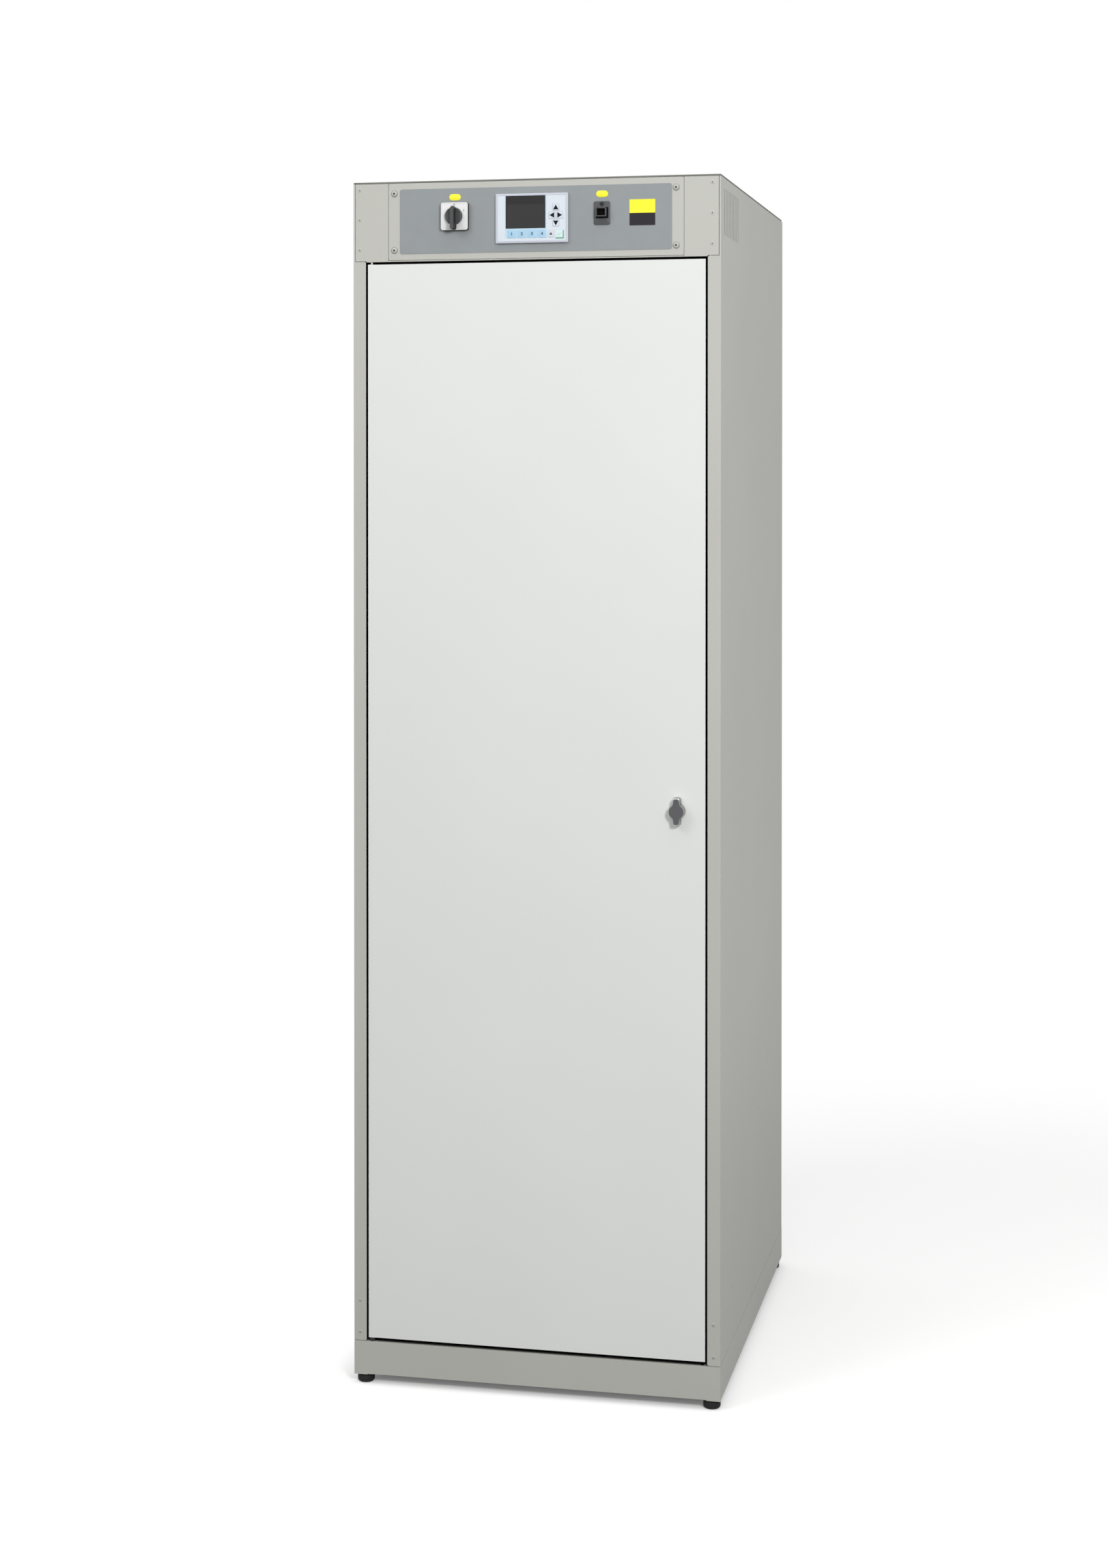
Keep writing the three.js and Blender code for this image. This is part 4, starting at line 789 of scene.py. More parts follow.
# labels on the film: two bare yellow pills and a bare two-colour plate
labelShape = {
    "pill": (20.5, 11), "pillPlaces": (-141.2, 119.2), "pillLevel": 2079.4, "width": 44.6, "x": 189.3,
    "top": 2068.6, "split": 2045.4, "bottom": 2024.1, "film": 415.7, "thick": 0.3, "bevel": 0.1,
    "pillCuts": (0, 0, 0.4), "cuts": (0, 0, 0.2), "corner": 0.5, "endGap": 0.01}


def makeLabels(look):
    base, top = look["film"], look["film"] + look["thick"]
    levels, (wide, high) = (base, top - look["bevel"], top), look["pill"]
    end = high / 2 - look["endGap"]  # just short of a half circle
    for name, x in zip(("leftPill", "rightPill"), look["pillPlaces"]):
        pill = lofted([(roundedRectangle(wide - cut, high - cut, end - cut / 2, 10), level)
                       for cut, level in zip(look["pillCuts"], levels)])
        addPiece(name, pill, facing("front", x, 0, look["pillLevel"]), "cabinet", "yellowInk")
    for name, ink, low, up in (("labelUpper", "yellowInk", look["split"], look["top"]),
                               ("labelLower", "darkInk", look["bottom"], look["split"])):
        steps = [(cut, look["corner"], level) for cut, level in zip(look["cuts"], levels)]
        plate = stepped(look["width"], up - low, steps)
        addPiece(name, plate, facing("front", look["x"], 0, (low + up) / 2), "cabinet", ink)


makeLabels(labelShape)


# Rotary switch: base with stacked contact wafers, white plate, ribbed dial with a raised grip, whose flanks
# are
# blacker than its crest: painted shade. Steps are how much smaller, corner radius and level; the grip's are
# half width, tail, shoulder, tip and level.
switchShape = {
    "base": 49, "baseSteps": [(0, 4.5, 416), (0, 4.5, 421.3), (0.5, 4.3, 421.85), (1.4, 4, 422)],
    "neck": [(11, 411), (11, 417)], "wafer": 44, "wafers": 5, "waferPitch": 10.4, "waferFrom": 360.7,
    "waferSteps": [(1.6, 2, 0), (0, 3, 0.8), (0, 3, 8.8), (1.6, 2, 9.6)], "plate": 48,
    "plateSteps": [(0, 4, 422.3), (0, 4, 424), (0.35, 3.825, 424.6), (1.1, 3.45, 424.8), (4, 2, 424.8),
        (4.8, 1.6, 424.45), (5.6, 1.2, 424.575)],
    "marks": {"0": 0, "1": 60}, "markHeight": 4.2, "markRadius": 19.8, "markLevel": 424.62, "dial": 15.3,
    "ribs": 60, "ribDepth": 0.28, "ribLevels": (425.9, 430.6), "dialFoot": (14.4, 425.3),
    "dialTop": [(14.6, 431.4), (13.6, 431.8), (12.6, 431.5), (6, 431.3)],
    "shaft": [(3.6, 396), (4, 396.4), (4, 428)],
    "grip": [(4.75, 23.2, 12.8, 16.9, 426.4), (4.4, 23.6, 12.8, 17.3, 427.4), (4.1, 23.5, 12.8, 17.1, 433),
        (3.1, 23.1, 12.4, 16.5, 442.3)],
    "gripTop": [(3.1, 23.1, 12.4, 16.5, 441.9), (3.1, 23.1, 12.4, 16.5, 442.5),
        (2.8, 22.8, 12.2, 16.2, 442.8)]}


# The grip from above: a tail with rounded corners, straight sides and a blunt point.
def gripOutline(half, tail, shoulder, tip):
    corner = 0.55 * half
    return [(-half, -tail + corner), (-half + 0.3 * corner, -tail + 0.3 * corner), (-half + corner, -tail),
            (0, -tail - 0.15), (half - corner, -tail), (half - 0.3 * corner, -tail + 0.3 * corner),
            (half, -tail + corner), (half, 0), (half, shoulder), (0.35 * half, tip - 0.6), (0, tip),
            (-0.35 * half, tip - 0.6), (-half, shoulder), (-half, 0)]


def makeSwitch(look, x, z):
    at = facing("front", x, 0, z)
    body = joined(stepped(look["base"], look["base"], look["baseSteps"]), turned(look["neck"], 48))
    addPiece("switchBase", body, at, "cabinet", "black", ["switch_body"])
    wafers = [(cut, corner, look["waferFrom"] + i * look["waferPitch"] + level)
              for i in range(look["wafers"]) for cut, corner, level in look["waferSteps"]]
    addPiece("switchContacts", stepped(look["wafer"], look["wafer"], wafers), at, "cabinet", "case",
             ["switch_body"])
    addPiece("switchPlate", stepped(look["plate"], look["plate"], look["plateSteps"]), at, "cabinet", "white",
             ["switch_plate"])
    for text, turn in look["marks"].items():
        across, up = math.sin(math.radians(turn)), math.cos(math.radians(turn))
        mark = textShape(text, look["markHeight"], look["markRadius"] * across, look["markRadius"] * up,
                         look["markLevel"])
        addPiece("switchMark" + text, mark, at, "cabinet", "markInk")
    count, dip = look["ribs"] * 2, look["ribDepth"] / look["dial"]
    ribbed = [(across * (1 - dip * (i % 2)), up * (1 - dip * (i % 2)))
              for i, (across, up) in enumerate(ring(look["dial"], count))]
    dial = [(ring(look["dialFoot"][0], count), look["dialFoot"][1])]
    dial += [(ribbed, level) for level in look["ribLevels"]]
    dial += [(ring(radius, count), level) for radius, level in look["dialTop"]]
    addPiece("switchDial", joined(lofted(dial), turned(look["shaft"], 32)), at, "switch", "knob",
             ["switch_knob"])
    grip, crest = (lofted([(gripOutline(*sizes), level) for *sizes, level in look[part]])
                   for part in ("grip", "gripTop"))
    # painted shade: the grip's flanks in blacker nylon than its crest and the dial
    addPiece("switchGrip", grip, at, "switch", "black", ["switch_knob"], edge=0.4, steps=3)
    addPiece("switchGripTop", crest, at, "switch", "knob", ["switch_knob"])


makeSwitch(switchShape, *panelPlaces["switch"])
print("labels and switch made")


# text display: moulded frame, keypad film with printed areas, screen, ten separate keys
displayShape = {
    "width": 128, "height": 85.5, "corner": 2, "film": (120.1, 78.4, 0.8), "core": (120.4, 78.66, 0.8),
    "keyGap": 0.15, "keyCorner": 1.1, "softBand": (73.2, 16.1, 0.5), "softBandAt": (-10.4, -26.35),
    "back": [(0.8, 2, 416), (0, 2, 416.5), (0, 2, 418.5)],
    "rim": [(0, 418.5), (0, 420.1), (0.5, 420.75), (1.4, 421), (7.0, 421), (7.6, 420.6), (7.6, 418.5)],
    "coreFront": 420.6, "filmFront": 420.85, "inkFront": 420.9, "layerCorner": 0.6, "rimShare": 0.9,
    "leastCorner": 0.8}
# name, finish, width and height, place from the display's middle, rear and front, node that it replaces
screenLayers = [
    ("screenMargin", "paleInk", (73.2, 57.2), (-10.6, 10.4), 420.85, 420.9, []),
    ("screenBorder", "screenEdge", (70.3, 56.5), (-10.7, 10.75), 420.6, 421.0, ["display_lens"]),
    ("screenWindow", "screen", (65.4, 40.5), (-10.5, 3.85), 421.0, 421.04, []),
    ("screenBar", "screenBar", (65.4, 12.4), (-10.5, 30.9), 421.0, 421.04, [])]
keyShape = {
    "corner": 1.0, "rear": 419.4, "front": 421.3, "rimInset": 1.2, "rimLine": 0.55, "markHeight": 4.8,
    "capSteps": [(0, 0.25), (0.3, 0.06), (0.8, 0)], "arrow": 9.6, "stroke": (5.8, 1.5, 0.4),
    "cornerLine": 1.7, "cornerInsets": (0.4, 0.5), "ink": 0.04, "mark": 0.05, "cornerMark": 0.06,
    "arrowUp": 0.95, "arrowDown": 0.82,
    "tick": [(-3.4, 0.7), (-2.9, 1.2), (-1.2, -0.4), (2.2, 2.8), (2.7, 2.3), (-1.2, -1.6)]}


def patch(sizes, low, up, holes=()):
    return slab(roundedRectangle(*sizes), low, up, holes)


def makeDisplay(look, layers, x, z):
    at = facing("front", x, 0, z)
    wide, high, gap = look["width"], look["height"], look["keyGap"]
    pockets = {}
    for name in frame["bodies"]:
        if name.endswith("_key") or name.startswith("soft_key"):
            low, up = spanOf(name)
            pocket = roundedRectangle(up.x - low.x + 2 * gap, up.z - low.z + 2 * gap, look["keyCorner"], 3)
            pockets[name] = shifted(pocket, (low.x + up.x) / 2 - x, (low.z + up.z) / 2 - z)
    rim = []
    for cut, level in look["rim"]:
        corner = max(look["corner"] - cut / 4, look["leastCorner"])
        rim.append((roundedRectangle(wide - cut, high - cut * look["rimShare"], corner), level))
    back, holes = look["back"], list(pockets.values())
    core = patch(look["core"], back[-1][2], look["coreFront"], holes)
    addPiece("displayFrame", joined(lofted(rim, loop=True), stepped(wide, high, back), core), at, "cabinet",
             "bezel", ["display_bezel"])
    addPiece("keypadFilm", patch(look["film"], look["coreFront"], look["filmFront"], holes), at, "cabinet",
             "keypad", ["display_bezel"])
    bandX, bandZ = look["softBandAt"]
    holes = [shifted(pockets[f"soft_key_{i}"], -bandX, -bandZ) for i in range(1, 5)]
    addPiece("softKeyBand", patch(look["softBand"], look["filmFront"], look["inkFront"], holes),
             facing("front", x + bandX, 0, z + bandZ), "cabinet", "paleInk")
    for name, ink, sizes, (layerX, layerZ), low, up, replaced in layers:
        at = facing("front", x + layerX, 0, z + layerZ)
        addPiece(name, patch((*sizes, look["layerCorner"]), low, up), at, "cabinet", ink, replaced)


# One key: its cap, its printed rim and its marks, each with a finish.
def makeKey(node, look, ink, rimInk, marks):
    low, high = spanOf(node)
    wide, tall, corner, front = high.x - low.x, high.z - low.z, look["corner"], look["front"]
    at = facing("front", (low.x + high.x) / 2, 0, (low.z + high.z) / 2)
    steps = [(0, corner, look["rear"])] + [(cut, corner, front - down) for cut, down in look["capSteps"]]
    addPiece(pieceName(node), stepped(wide, tall, steps, 3), at, node, ink, [node])
    wide, tall, line = wide - look["rimInset"], tall - look["rimInset"], look["rimLine"]
    rim = slab(roundedRectangle(wide, tall, corner, 3), front, front + look["ink"],
               [roundedRectangle(wide - 2 * line, tall - 2 * line, corner - line, 3)])
    addPiece(pieceName(node) + "Outline", rim, at, node, rimInk)
    for mark, (shape, markInk) in marks.items():
        addPiece(pieceName(node) + mark, shape, at, node, markInk)


def makeKeys(look):
    front, top = look["front"], look["front"] + look["mark"]
    for i in range(1, 5):
        number = textShape(str(i), look["markHeight"], 0, 0, front + look["ink"])
        makeKey(f"soft_key_{i}", look, "blueInk", "paleInk", {"Mark": (number, "slateInk")})
    size = look["arrow"] / 2
    foot, head = -size * look["arrowDown"], size * look["arrowUp"]
    arrow = slab([(-size, foot), (size, foot), (0, head)], front, top)
    for node, turn in (("up_key", 0), ("left_key", 90), ("down_key", 180), ("right_key", 270)):
        pointed = moved(arrow, Matrix.Rotation(math.radians(turn), 4, "Z"))
        makeKey(node, look, "keypad", "greyInk", {"Arrow": (pointed, "navyInk")})
    stroke = patch(look["stroke"], front, top)
    cross = joined(*[moved(stroke, Matrix.Rotation(math.radians(turn), 4, "Z")) for turn in (45, -45)])
    makeKey("cancel_key", look, "keypad", "greyInk", {"Cross": (cross, "slateInk")})
    low, high = spanOf("enter_key")
    wide, tall, thick, (edge, tip) = high.x - low.x, high.z - low.z, look["cornerLine"], look["cornerInsets"]
    right, foot, left, head = wide / 2 - edge, edge - tall / 2, tip - wide / 2, tall / 2 - tip
    corner = [(right, foot), (right, head), (right - thick, head), (right - thick, foot + thick),
              (left, foot + thick), (left, foot)]
    makeKey("enter_key", look, "mintInk", "mintInk", {
        "Corner": (slab(corner, front, front + look["cornerMark"]), "greenInk"),
        "Tick": (slab(look["tick"], front, top), "softGreenInk")})


makeDisplay(displayShape, screenLayers, *panelPlaces["display"])
makeKeys(keyShape)
print("display and keys made")


# network socket: nylon flange with one screw, a hooded port and its row of contacts
socketShape = {
    "flange": (28, 40), "flangeSteps": [(0, 3, 416), (0, 3, 417.7), (0.5, 3, 418.3), (1.5, 3, 418.5)],
    "rear": (20, 24, 1), "rearLevels": (394, 416), "hood": (18, 15.4, 1.0), "mouth": (14.8, 12.2, 0.5),
    "hoodUp": 1, "hoodRear": 418, "front": 427.5, "jack": (14.7, 12.1, 0.4), "jackFront": 420.4,
    "jackBack": (16, 12.8, 0.8), "jackBackLevels": (417.6, 418.4), "bore": (11.8, 7.0), "notch": (6.2, 1.8),
    "insert": (21.6, 19.2, 1.2), "insertAt": (0.7, 0.3), "insertLevels": (418.3, 418.7), "contacts": 8,
    "pitch": 1.1, "contactThick": 0.2, "contact": [(4.4, 420.0), (3.8, 419.8), (2.0, 418.9), (1.7, 418.2)],
    "screwAt": (0.3, 15.9),
    "screw": [(3.5, 418.3), (3.5, 419.2), (3.3, 419.9), (2.7, 420.3), (2.0, 420.45)],
    "screwSocket": (2.6, 1.05)}


def makeSocket(look, x, z):
    at, hoodAt = facing("front", x, 0, z), facing("front", x, 0, z + look["hoodUp"])
    flange = joined(stepped(*look["flange"], look["flangeSteps"]), patch(look["rear"], *look["rearLevels"]))
    addPiece("socketFlange", flange, at, "cabinet", "socket", ["network_socket"])
    hood = patch(look["hood"], look["hoodRear"], look["front"], [roundedRectangle(*look["mouth"])])
    addPiece("socketHood", hood, hoodAt, "cabinet", "socket", ["network_socket"], edge=0.4)
    # painted shadow: a black slab under the hood, reaching further to the right and down on the flange
    insertX, insertZ = look["insertAt"]
    addPiece("socketInsert", patch(look["insert"], *look["insertLevels"]),
             facing("front", x + insertX, 0, z + insertZ), "cabinet", "jack")
    boreX, boreZ, notchX = look["bore"][0] / 2, look["bore"][1] / 2, look["notch"][0] / 2
    notchZ = boreZ + look["notch"][1]
    bore = [(-boreX, boreZ), (-boreX, -boreZ), (-notchX, -boreZ), (-notchX, -notchZ), (notchX, -notchZ),
            (notchX, -boreZ), (boreX, -boreZ), (boreX, boreZ)]
    jack = patch(look["jack"], look["hoodRear"], look["jackFront"], [shifted(bore, 0, 1)])
    addPiece("socketJack", joined(jack, patch(look["jackBack"], *look["jackBackLevels"])), hoodAt, "cabinet",
             "jack")
    starts = [(i - (look["contacts"] - 1) / 2) * look["pitch"] for i in range(look["contacts"])]
    pins = [tube([(start, up, level) for up, level in look["contact"]], look["contactThick"])
            for start in starts]
    addPiece("socketContacts", joined(*pins), hoodAt, "cabinet", "gold")
    screwX, screwZ = look["screwAt"]
    addPiece("socketScrew", socketHead(look["screw"], *look["screwSocket"]),
             facing("front", x + screwX, 0, z + screwZ), "cabinet", "black")


makeSocket(socketShape, *panelPlaces["socket"])
print("network socket made")


# blind rivets, and the plugs in the fixing holes of the sides and in the spare hinge hole
rivetShape = {
    "head": [(3.2, 0), (3.2, 0.15), (2.9, 0.5), (2.2, 0.75), (1.35, 0.82), (1.1, 0.7), (1.0, 0.15)],
    "mandrel": [(1.05, 0.1), (1.05, 0.45), (0.8, 0.55)]}
rivetRows = [("front", -415, (-313.5, 310.2), (2095.3, 2043.3, 1990.9)),
             ("front", -415, (-314.5, 313.2), (146.2, 91.0)),
             ("back", 415, (-314, 314), range(130, 2080, 216)),
             ("back", 415, (-216, -72, 72, 216), (90, 2094))]  # side, its face, places across, levels
plugShape = {
    "side": [(2.55, 322.8), (2.55, 324.2), (2.2, 324.6), (1.4, 324.8), (0.5, 324.85)],
    "sideAcross": (-286.5, 68.5), "sideLevels": (171, 402),
    "spare": [(2.6, 75.1), (2.6, 75.45), (2.1, 75.6)], "spareAt": (293, -409.5)}


def makeRivets(look, rows):
    spots = [facing(side, x, y, z) for side, y, across, levels in rows for x in across for z in levels]
    # the mandrel ends are real parts; their dark grey is painted shade for the hole they sit in
    for name, part, steps, ink in (("blindRivets", "head", 32, "casing"),
                                   ("rivetMandrels", "mandrel", 16, "socket")):
        shape = turned(look[part], steps)
        addPiece(name, joined(*[moved(shape, spot) for spot in spots]), asBuilt, "cabinet", ink)


def makePlugs(look):
    plug = turned(look["side"], 32)
    plugs = [moved(plug, facing(side, 0, y, z)) for side in ("left", "right")
             for y in look["sideAcross"] for z in look["sideLevels"]]
    addPiece("sidePlugs", joined(*plugs), asBuilt, "cabinet", "case")
    addPiece("spareHingePlug", turned(look["spare"], 32), facing("up", *look["spareAt"]), "cabinet", "rubber")


makeRivets(rivetShape, rivetRows)
makePlugs(plugShape)


# grey rubber trim along the roof sheet's edge, and filter gauze in the vent slots, whose dark tone is painted
# shade for the depth of the slots
trimShape = {"side": 0.7, "front": 0.4, "low": 0.2, "high": 2.7, "rear": 1, "edge": 0.15}
ventShape = {
    "slots": 10, "pitch": 18, "first": 41.5, "level": 2048.1, "size": (5.9, 79.2, 0.3), "sunk": 0.5,
    "thick": 1.2}


def makeRoofTrim(look):
    low, high = spanOf("roof_panel")
    outer, front, rear = high.x + look["side"], low.y - look["front"], high.y - look["rear"]
    outline = [(-outer, rear), (-outer, front), (outer, front), (outer, rear), (high.x, rear),
               (high.x, low.y), (low.x, low.y), (low.x, rear)]
    addPiece("roofEdgeTrim", slab(outline, low.z + look["low"], low.z + look["high"]), asBuilt, "cabinet",
             "trim", edge=look["edge"])


def makeVentGauze(look):
    low, high = spanOf("right_side_panel")
    face = high.x - look["sunk"]
    # painted shade: dark gauze set just inside each slot
    plate = slab(roundedRectangle(*look["size"], 2), face - look["thick"], face)
    places = [low.y + look["first"] + i * look["pitch"] for i in range(look["slots"])]
    plates = [moved(plate, facing(side, 0, y, look["level"])) for y in places for side in ("right", "left")]
    addPiece("ventGauze", joined(*plates), asBuilt, "cabinet", "gauze")


makeRoofTrim(trimShape)
makeVentGauze(ventShape)


# cable gland in the back: hexagon body with its dome, thread, seal and locknut
glandShape = {
    "axis": (230, 2045), "body": [(25.6, 415.2), (27, 416), (27, 420.2), (25.6, 421)],
    "thread": [(8.6, 407.7), (9.4, 408.3), (9.4, 416)],
    "dome": [(13.2, 421), (14.4, 421.6), (14.4, 427), (13.4, 431), (10.6, 434), (9.4, 435), (7.6, 435),
        (7.2, 434.2), (7.2, 428)],
    "locknut": 24, "locknutBore": 9.6, "locknutLevels": (408.5, 412.7),
    "seal": [(7.1, 427.5), (7.1, 433), (6.4, 433.6), (5.4, 433.2), (5.0, 431), (4.9, 428.2)]}


def makeGland(look):
    at = facing("back", look["axis"][0], 0, look["axis"][1])
    body = lofted([(hexagon(across), level) for across, level in look["body"]])
    addPiece("cableGland", joined(body, turned(look["thread"], 48), turned(look["dome"], 48)), at, "cabinet",
             "black", ["cable_gland"])
    nut = slab(hexagon(look["locknut"], 1), *look["locknutLevels"], [ring(look["locknutBore"], 48)])
    addPiece("glandLocknut", nut, at, "cabinet", "black", edge=0.4)
    addPiece("glandSeal", turned(look["seal"], 48), at, "cabinet", "rubber")


makeGland(glandShape)


# exhaust spigot: rolled tube with a bead, its flange screwed to the roof
spigotShape = {
    "section": [(48, 1969.3), (50, 1969.3), (50, 2109.3), (64.4, 2109.3), (65, 2109.7), (65, 2111),
        (64.6, 2111.3), (51.4, 2111.3), (50, 2112.7), (50, 2139), (50.6, 2139.7), (50.95, 2141),
        (50.6, 2142.3), (50, 2143), (50, 2153.6), (49.7, 2154), (48.3, 2154), (48, 2153.6)],
    "screws": 6, "screwCircle": 58, "screwSeat": 2111.2, "screwSocket": (2.4, 1.3),
    "screw": [(3.8, 0), (3.8, 0.5), (3.5, 1.3), (2.8, 1.9), (2.2, 2.1)]}


def makeSpigot(look):
    x, y = middleOf("exhaust_spigot").xy
    addPiece("exhaustSpigot", turned(look["section"], 96, loop=True), facing("up", x, y), "cabinet", "zinc",
             ["exhaust_spigot"])
    head, reach = socketHead(look["screw"], *look["screwSocket"]), look["screwCircle"]
    turns = [2 * math.pi * (i + 0.5) / look["screws"] for i in range(look["screws"])]
    spots = [(x + reach * math.cos(turn), y + reach * math.sin(turn), look["screwSeat"]) for turn in turns]
    heads = [moved(head, facing("up", *spot)) for spot in spots]
    addPiece("spigotScrews", joined(*heads), asBuilt, "cabinet", "plated")


makeSpigot(spigotShape)
print("rivets, gland and spigot made")


# hanging rail: polished tube between flanged wall plates
railShape = {
    "tube": 12.5, "plate": 24, "plateThick": 5, "collar": 15, "collarLong": 8, "screws": 3,
    "screwCircle": 19.2, "screw": [(2.6, 0), (2.6, 0.9), (2.0, 1.7), (0.9, 2.0)], "screwSunk": 0.1,
    "backEdge": (0.8, 0.6), "frontEdge": 1, "collarEdge": (0.8, 1)}


def makeRail(look):
    low, high = spanOf("hanging_rail")
    length, plate, thick, collar = high.x - low.x, look["plate"], look["plateThick"], look["collar"]
    tip, edge = thick + look["collarLong"], look["frontEdge"]
    (back, rise), (narrow, fall) = look["backEdge"], look["collarEdge"]
    end = [(plate - back, 0), (plate, rise), (plate, thick - edge), (plate - edge, thick), (collar, thick),
           (collar, tip - fall), (collar - narrow, tip), (look["tube"], tip)]
    profile = end + [(radius, length - level) for radius, level in reversed(end)]
    at = facing("right", low.x, *middleOf("hanging_rail").yz)
    addPiece("hangingRail", turned(profile, 72), at, "cabinet", "stainless", ["hanging_rail"])
    heads, head, sunk = [], turned(look["screw"], 32), look["screwSunk"]
    for i in range(look["screws"]):
        turn = math.radians(90 + 360 / look["screws"] * i)
        x, y = look["screwCircle"] * math.cos(turn), look["screwCircle"] * math.sin(turn)
        for start, way in ((thick - sunk, 1), (length - thick + sunk, -1)):
            heads.append(moved(head, facing("up", x, y, start) @ Matrix.Diagonal((1, 1, way, 1))))
    addPiece("railScrews", joined(*heads), at, "cabinet", "plated")


makeRail(railShape)


# fan impeller: curved blades on a domed hub, whose foot and dome say how far in and how far from an end they
# are; chord and pitch run from hub to tip
impellerShape = {
    "axis": (-130, 150), "hub": 31, "root": 29, "tip": 76, "blades": 7, "chord": (24, 38),
    "pitch": (48, 27), "thick": 1.7, "camber": 2.2, "sections": 7, "sides": 16, "clear": 0.5,
    "foot": [(1, 1), (0, 2)], "dome": [(0, 5), (1.6, 2.2), (5, 0.7), (11, 0), (27, 0)]}


def makeImpeller(look):
    low, high = spanOf("fan_impeller")
    middle, half = (low.z + high.z) / 2, (high.z - low.z) / 2 - look["clear"]
    hub = [(look["hub"] - cut, low.z + up) for cut, up in look["foot"]]
    hub += [(look["hub"] - cut, high.z - down) for cut, down in look["dome"]]
    rings = []
    for i in range(look["sections"]):
        share = i / (look["sections"] - 1)
        radius, chord, pitch = (start + (stop - start) * share for start, stop in (
            (look["root"], look["tip"]), look["chord"], look["pitch"]))
        pitch, section = math.radians(pitch), []
        for s in range(look["sides"]):
            along, off = math.cos(2 * math.pi * s / look["sides"]), math.sin(2 * math.pi * s / look["sides"])
            u, v = chord / 2 * along, look["thick"] / 2 * off + look["camber"] * (1 - along * along)
            angle = (u * math.cos(pitch) - v * math.sin(pitch)) / radius
            up = max(min(u * math.sin(pitch) + v * math.cos(pitch), half), -half)
            section.append((radius * math.cos(angle), radius * math.sin(angle), middle + up))
        rings.append(section)
    blades = [moved(skinned(rings), Matrix.Rotation(2 * math.pi * b / look["blades"], 4, "Z"))
              for b in range(look["blades"])]
    addPiece("fanImpeller", joined(turned(hub), *blades), facing("up", *look["axis"]), "fan", "case",
             ["fan_impeller"])


makeImpeller(impellerShape)
print("rail and fan made")


# Floor and light: white studio, soft key from high on the left, a fill that reaches the panel from the right.
# The camera sees a floor that glows a little by itself, less under the cabinet, which leaves painted shade
# there, and that fades to a painted white over the shadows far off, in front and to the left.
# Lengths are in metres here.
white = hexColour("#ffffff")
floorLook = {
    "size": 60, "colour": "#8e8e8e", "keep": 0.9, "lift": 0.29, "liftUnder": 0.1, "liftFrom": -0.06,
    "liftTo": 0.03, "half": (0.325, 0.415, 0), "middle": (0.55, 0.1, 0), "near": 0.9, "far": 2.1,
    "cleanFrom": 0.0, "cleanTo": 0.07}
lightLook = {"ambientStrength": 0.49, "lamps": {
    "keyLeft": {"place": (-2.4, -3.2, 3.7), "aim": (0, 0, 1.4), "size": 2.4, "watts": 46},
    "fillRight": {"place": (2.1, -3.9, 2.8), "aim": (0, -0.4, 1.3), "size": 0.85, "watts": 100},
    "overhead": {"place": (0.3, -0.6, 4.6), "aim": (0, 0, 1), "size": 3.2, "watts": 34}}}


# 1 where the camera looks, straight, by a mirror or through glass, and 0 for the rays that only carry light.
def seenMask(tree):
    path = addNode(tree, "LightPath").outputs
    seen = addNode(tree, "Math", {0: path["Is Camera Ray"], 1: path["Is Glossy Ray"]}, operation="MAXIMUM")
    seen = addNode(tree, "Math", {0: seen, 1: path["Is Transmission Ray"]}, operation="MAXIMUM")
    return seen


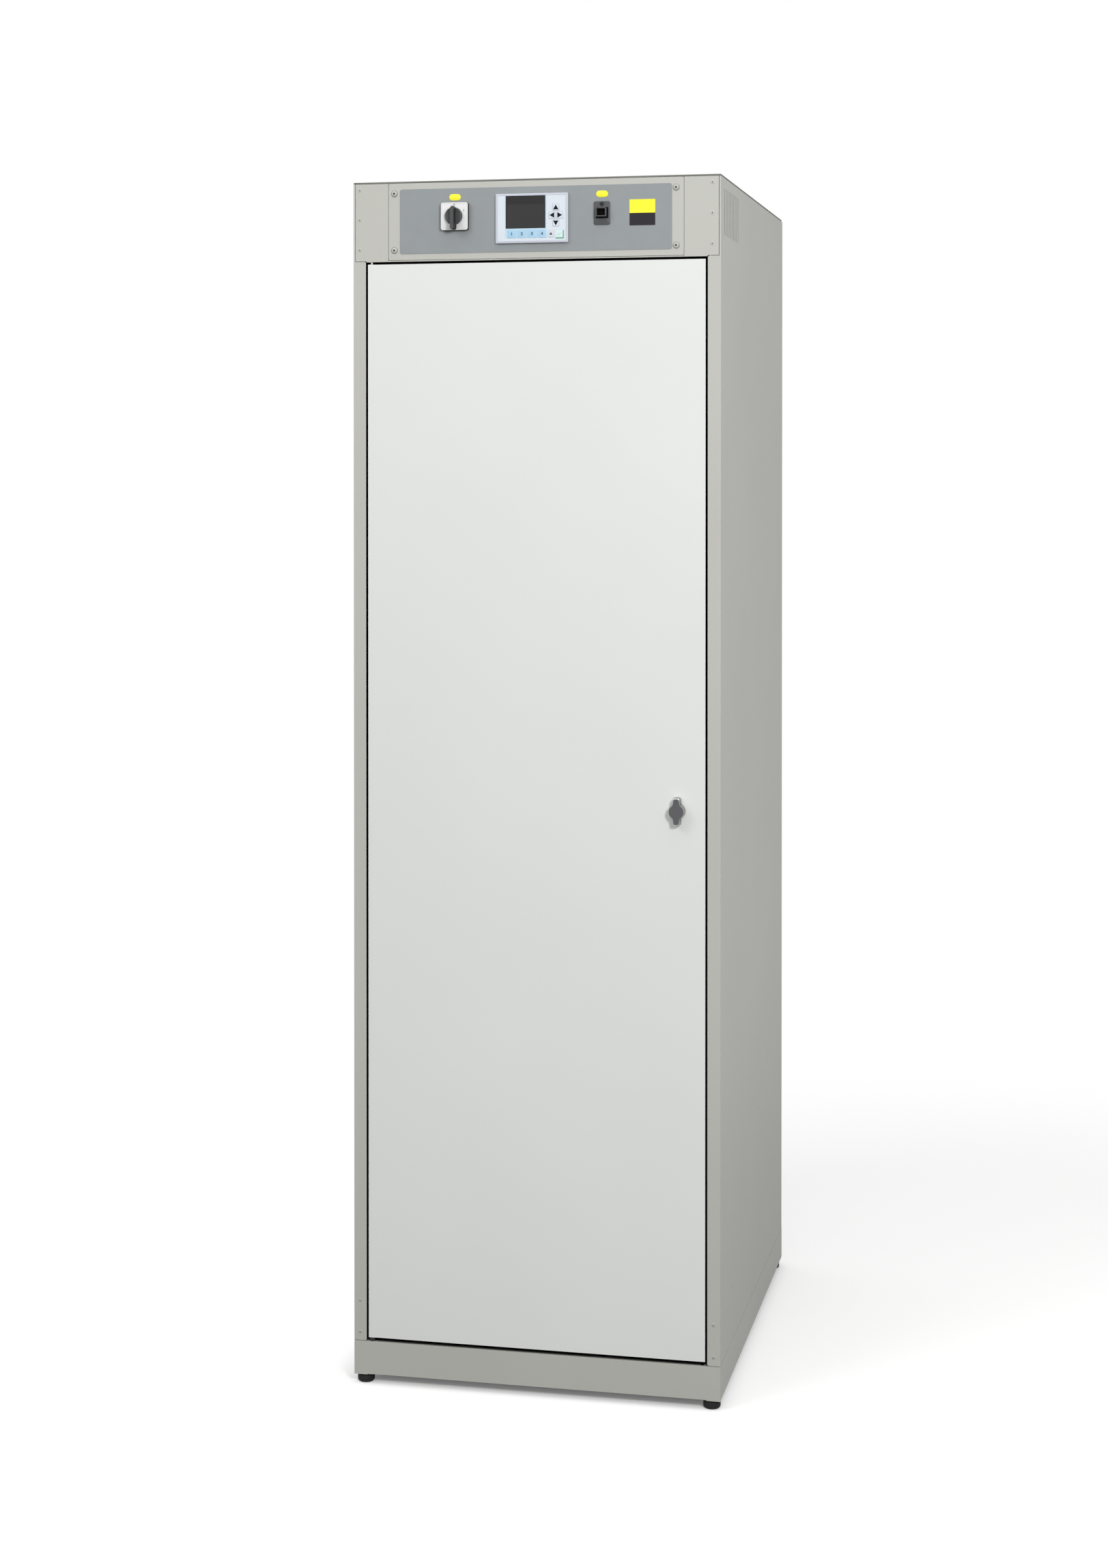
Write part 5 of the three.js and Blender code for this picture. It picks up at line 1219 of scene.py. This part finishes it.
def makeFloor(look):
    mesh = bpy.data.meshes.new("studioFloor")
    half = look["size"] / 2
    corners = [(x * half, y * half, 0) for x, y in ((-1, -1), (1, -1), (1, 1), (-1, 1))]
    mesh.from_pydata(corners, [], [(0, 1, 2, 3)])
    floor = bpy.data.objects.new("studioFloor", mesh)
    scene.collection.objects.link(floor)
    material, tree, place = newMaterial("paintedStudioFloor", "")
    # painted white over the floor's shadows far from the cabinet, in front of it and to its left
    away = addNode(tree, "VectorMath", {0: place, 1: look["middle"]}, operation="DISTANCE")
    fades = [addNode(tree, "MapRange", {0: away.outputs["Value"], 1: look["near"], 2: look["far"]},
                     interpolation_type="SMOOTHSTEP")]
    around = addNode(tree, "VectorMath", {0: place}, operation="ABSOLUTE")
    ahead = addNode(tree, "VectorMath", {0: place, 1: (-1, -1, 0)}, operation="MULTIPLY")
    for side, start, stop in ((ahead, "cleanFrom", "cleanTo"), (around, "liftFrom", "liftTo")):
        past = addNode(tree, "VectorMath", {0: side, 1: look["half"]}, operation="SUBTRACT")
        axes = addNode(tree, "SeparateXYZ", {0: past}).outputs
        gap = addNode(tree, "Math", {0: axes["X"], 1: axes["Y"]}, operation="MAXIMUM")
        fades.append(addNode(tree, "MapRange", {0: gap, 1: look[start], 2: look[stop]},
                             interpolation_type="SMOOTHSTEP"))
    fade = addNode(tree, "Math", {0: fades[0], 1: fades[1]}, operation="MAXIMUM")
    # less glow under the cabinet: painted shade there
    lift = addNode(tree, "MapRange", {0: fades[2], 3: look["liftUnder"], 4: look["lift"]})
    plain = addNode(tree, "BsdfDiffuse", {"Color": hexColour(look["colour"])})
    shown = addNode(tree, "BsdfDiffuse", {"Color": [look["keep"]] * 3 + [1]})
    glow = addNode(tree, "Emission", {"Color": white, "Strength": lift})
    blank = addNode(tree, "Emission", {"Color": white, "Strength": 1.0})
    near = addNode(tree, "AddShader", {0: shown, 1: glow})
    faded = addNode(tree, "MixShader", {0: fade, 1: near, 2: blank})
    whole = addNode(tree, "MixShader", {0: seenMask(tree), 1: plain, 2: faded})
    addNode(tree, "OutputMaterial", {"Surface": whole})
    mesh.materials.append(material)


def makeLight(look):
    world = bpy.data.worlds.new("whiteStudio")
    scene.world = world
    world.use_nodes = True
    tree = world.node_tree
    tree.nodes.clear()
    ambient = addNode(tree, "Background", {0: white, 1: look["ambientStrength"]})
    backdrop = addNode(tree, "Background", {0: white, 1: 1.0})
    both = addNode(tree, "MixShader", {0: seenMask(tree), 1: ambient, 2: backdrop})
    addNode(tree, "OutputWorld", {"Surface": both})
    for name, lamp in look["lamps"].items():
        light = bpy.data.lights.new(name, "AREA")
        light.shape, light.size, light.energy = "DISK", lamp["size"], lamp["watts"]
        box = bpy.data.objects.new(name, light)
        box.location = lamp["place"]
        box.rotation_euler = (Vector(lamp["aim"]) - Vector(lamp["place"])).to_track_quat("-Z", "Y").to_euler()
        scene.collection.objects.link(box)


makeFloor(floorLook)
makeLight(lightLook)
scene.view_settings.view_transform = "Standard"
print("floor and light made")
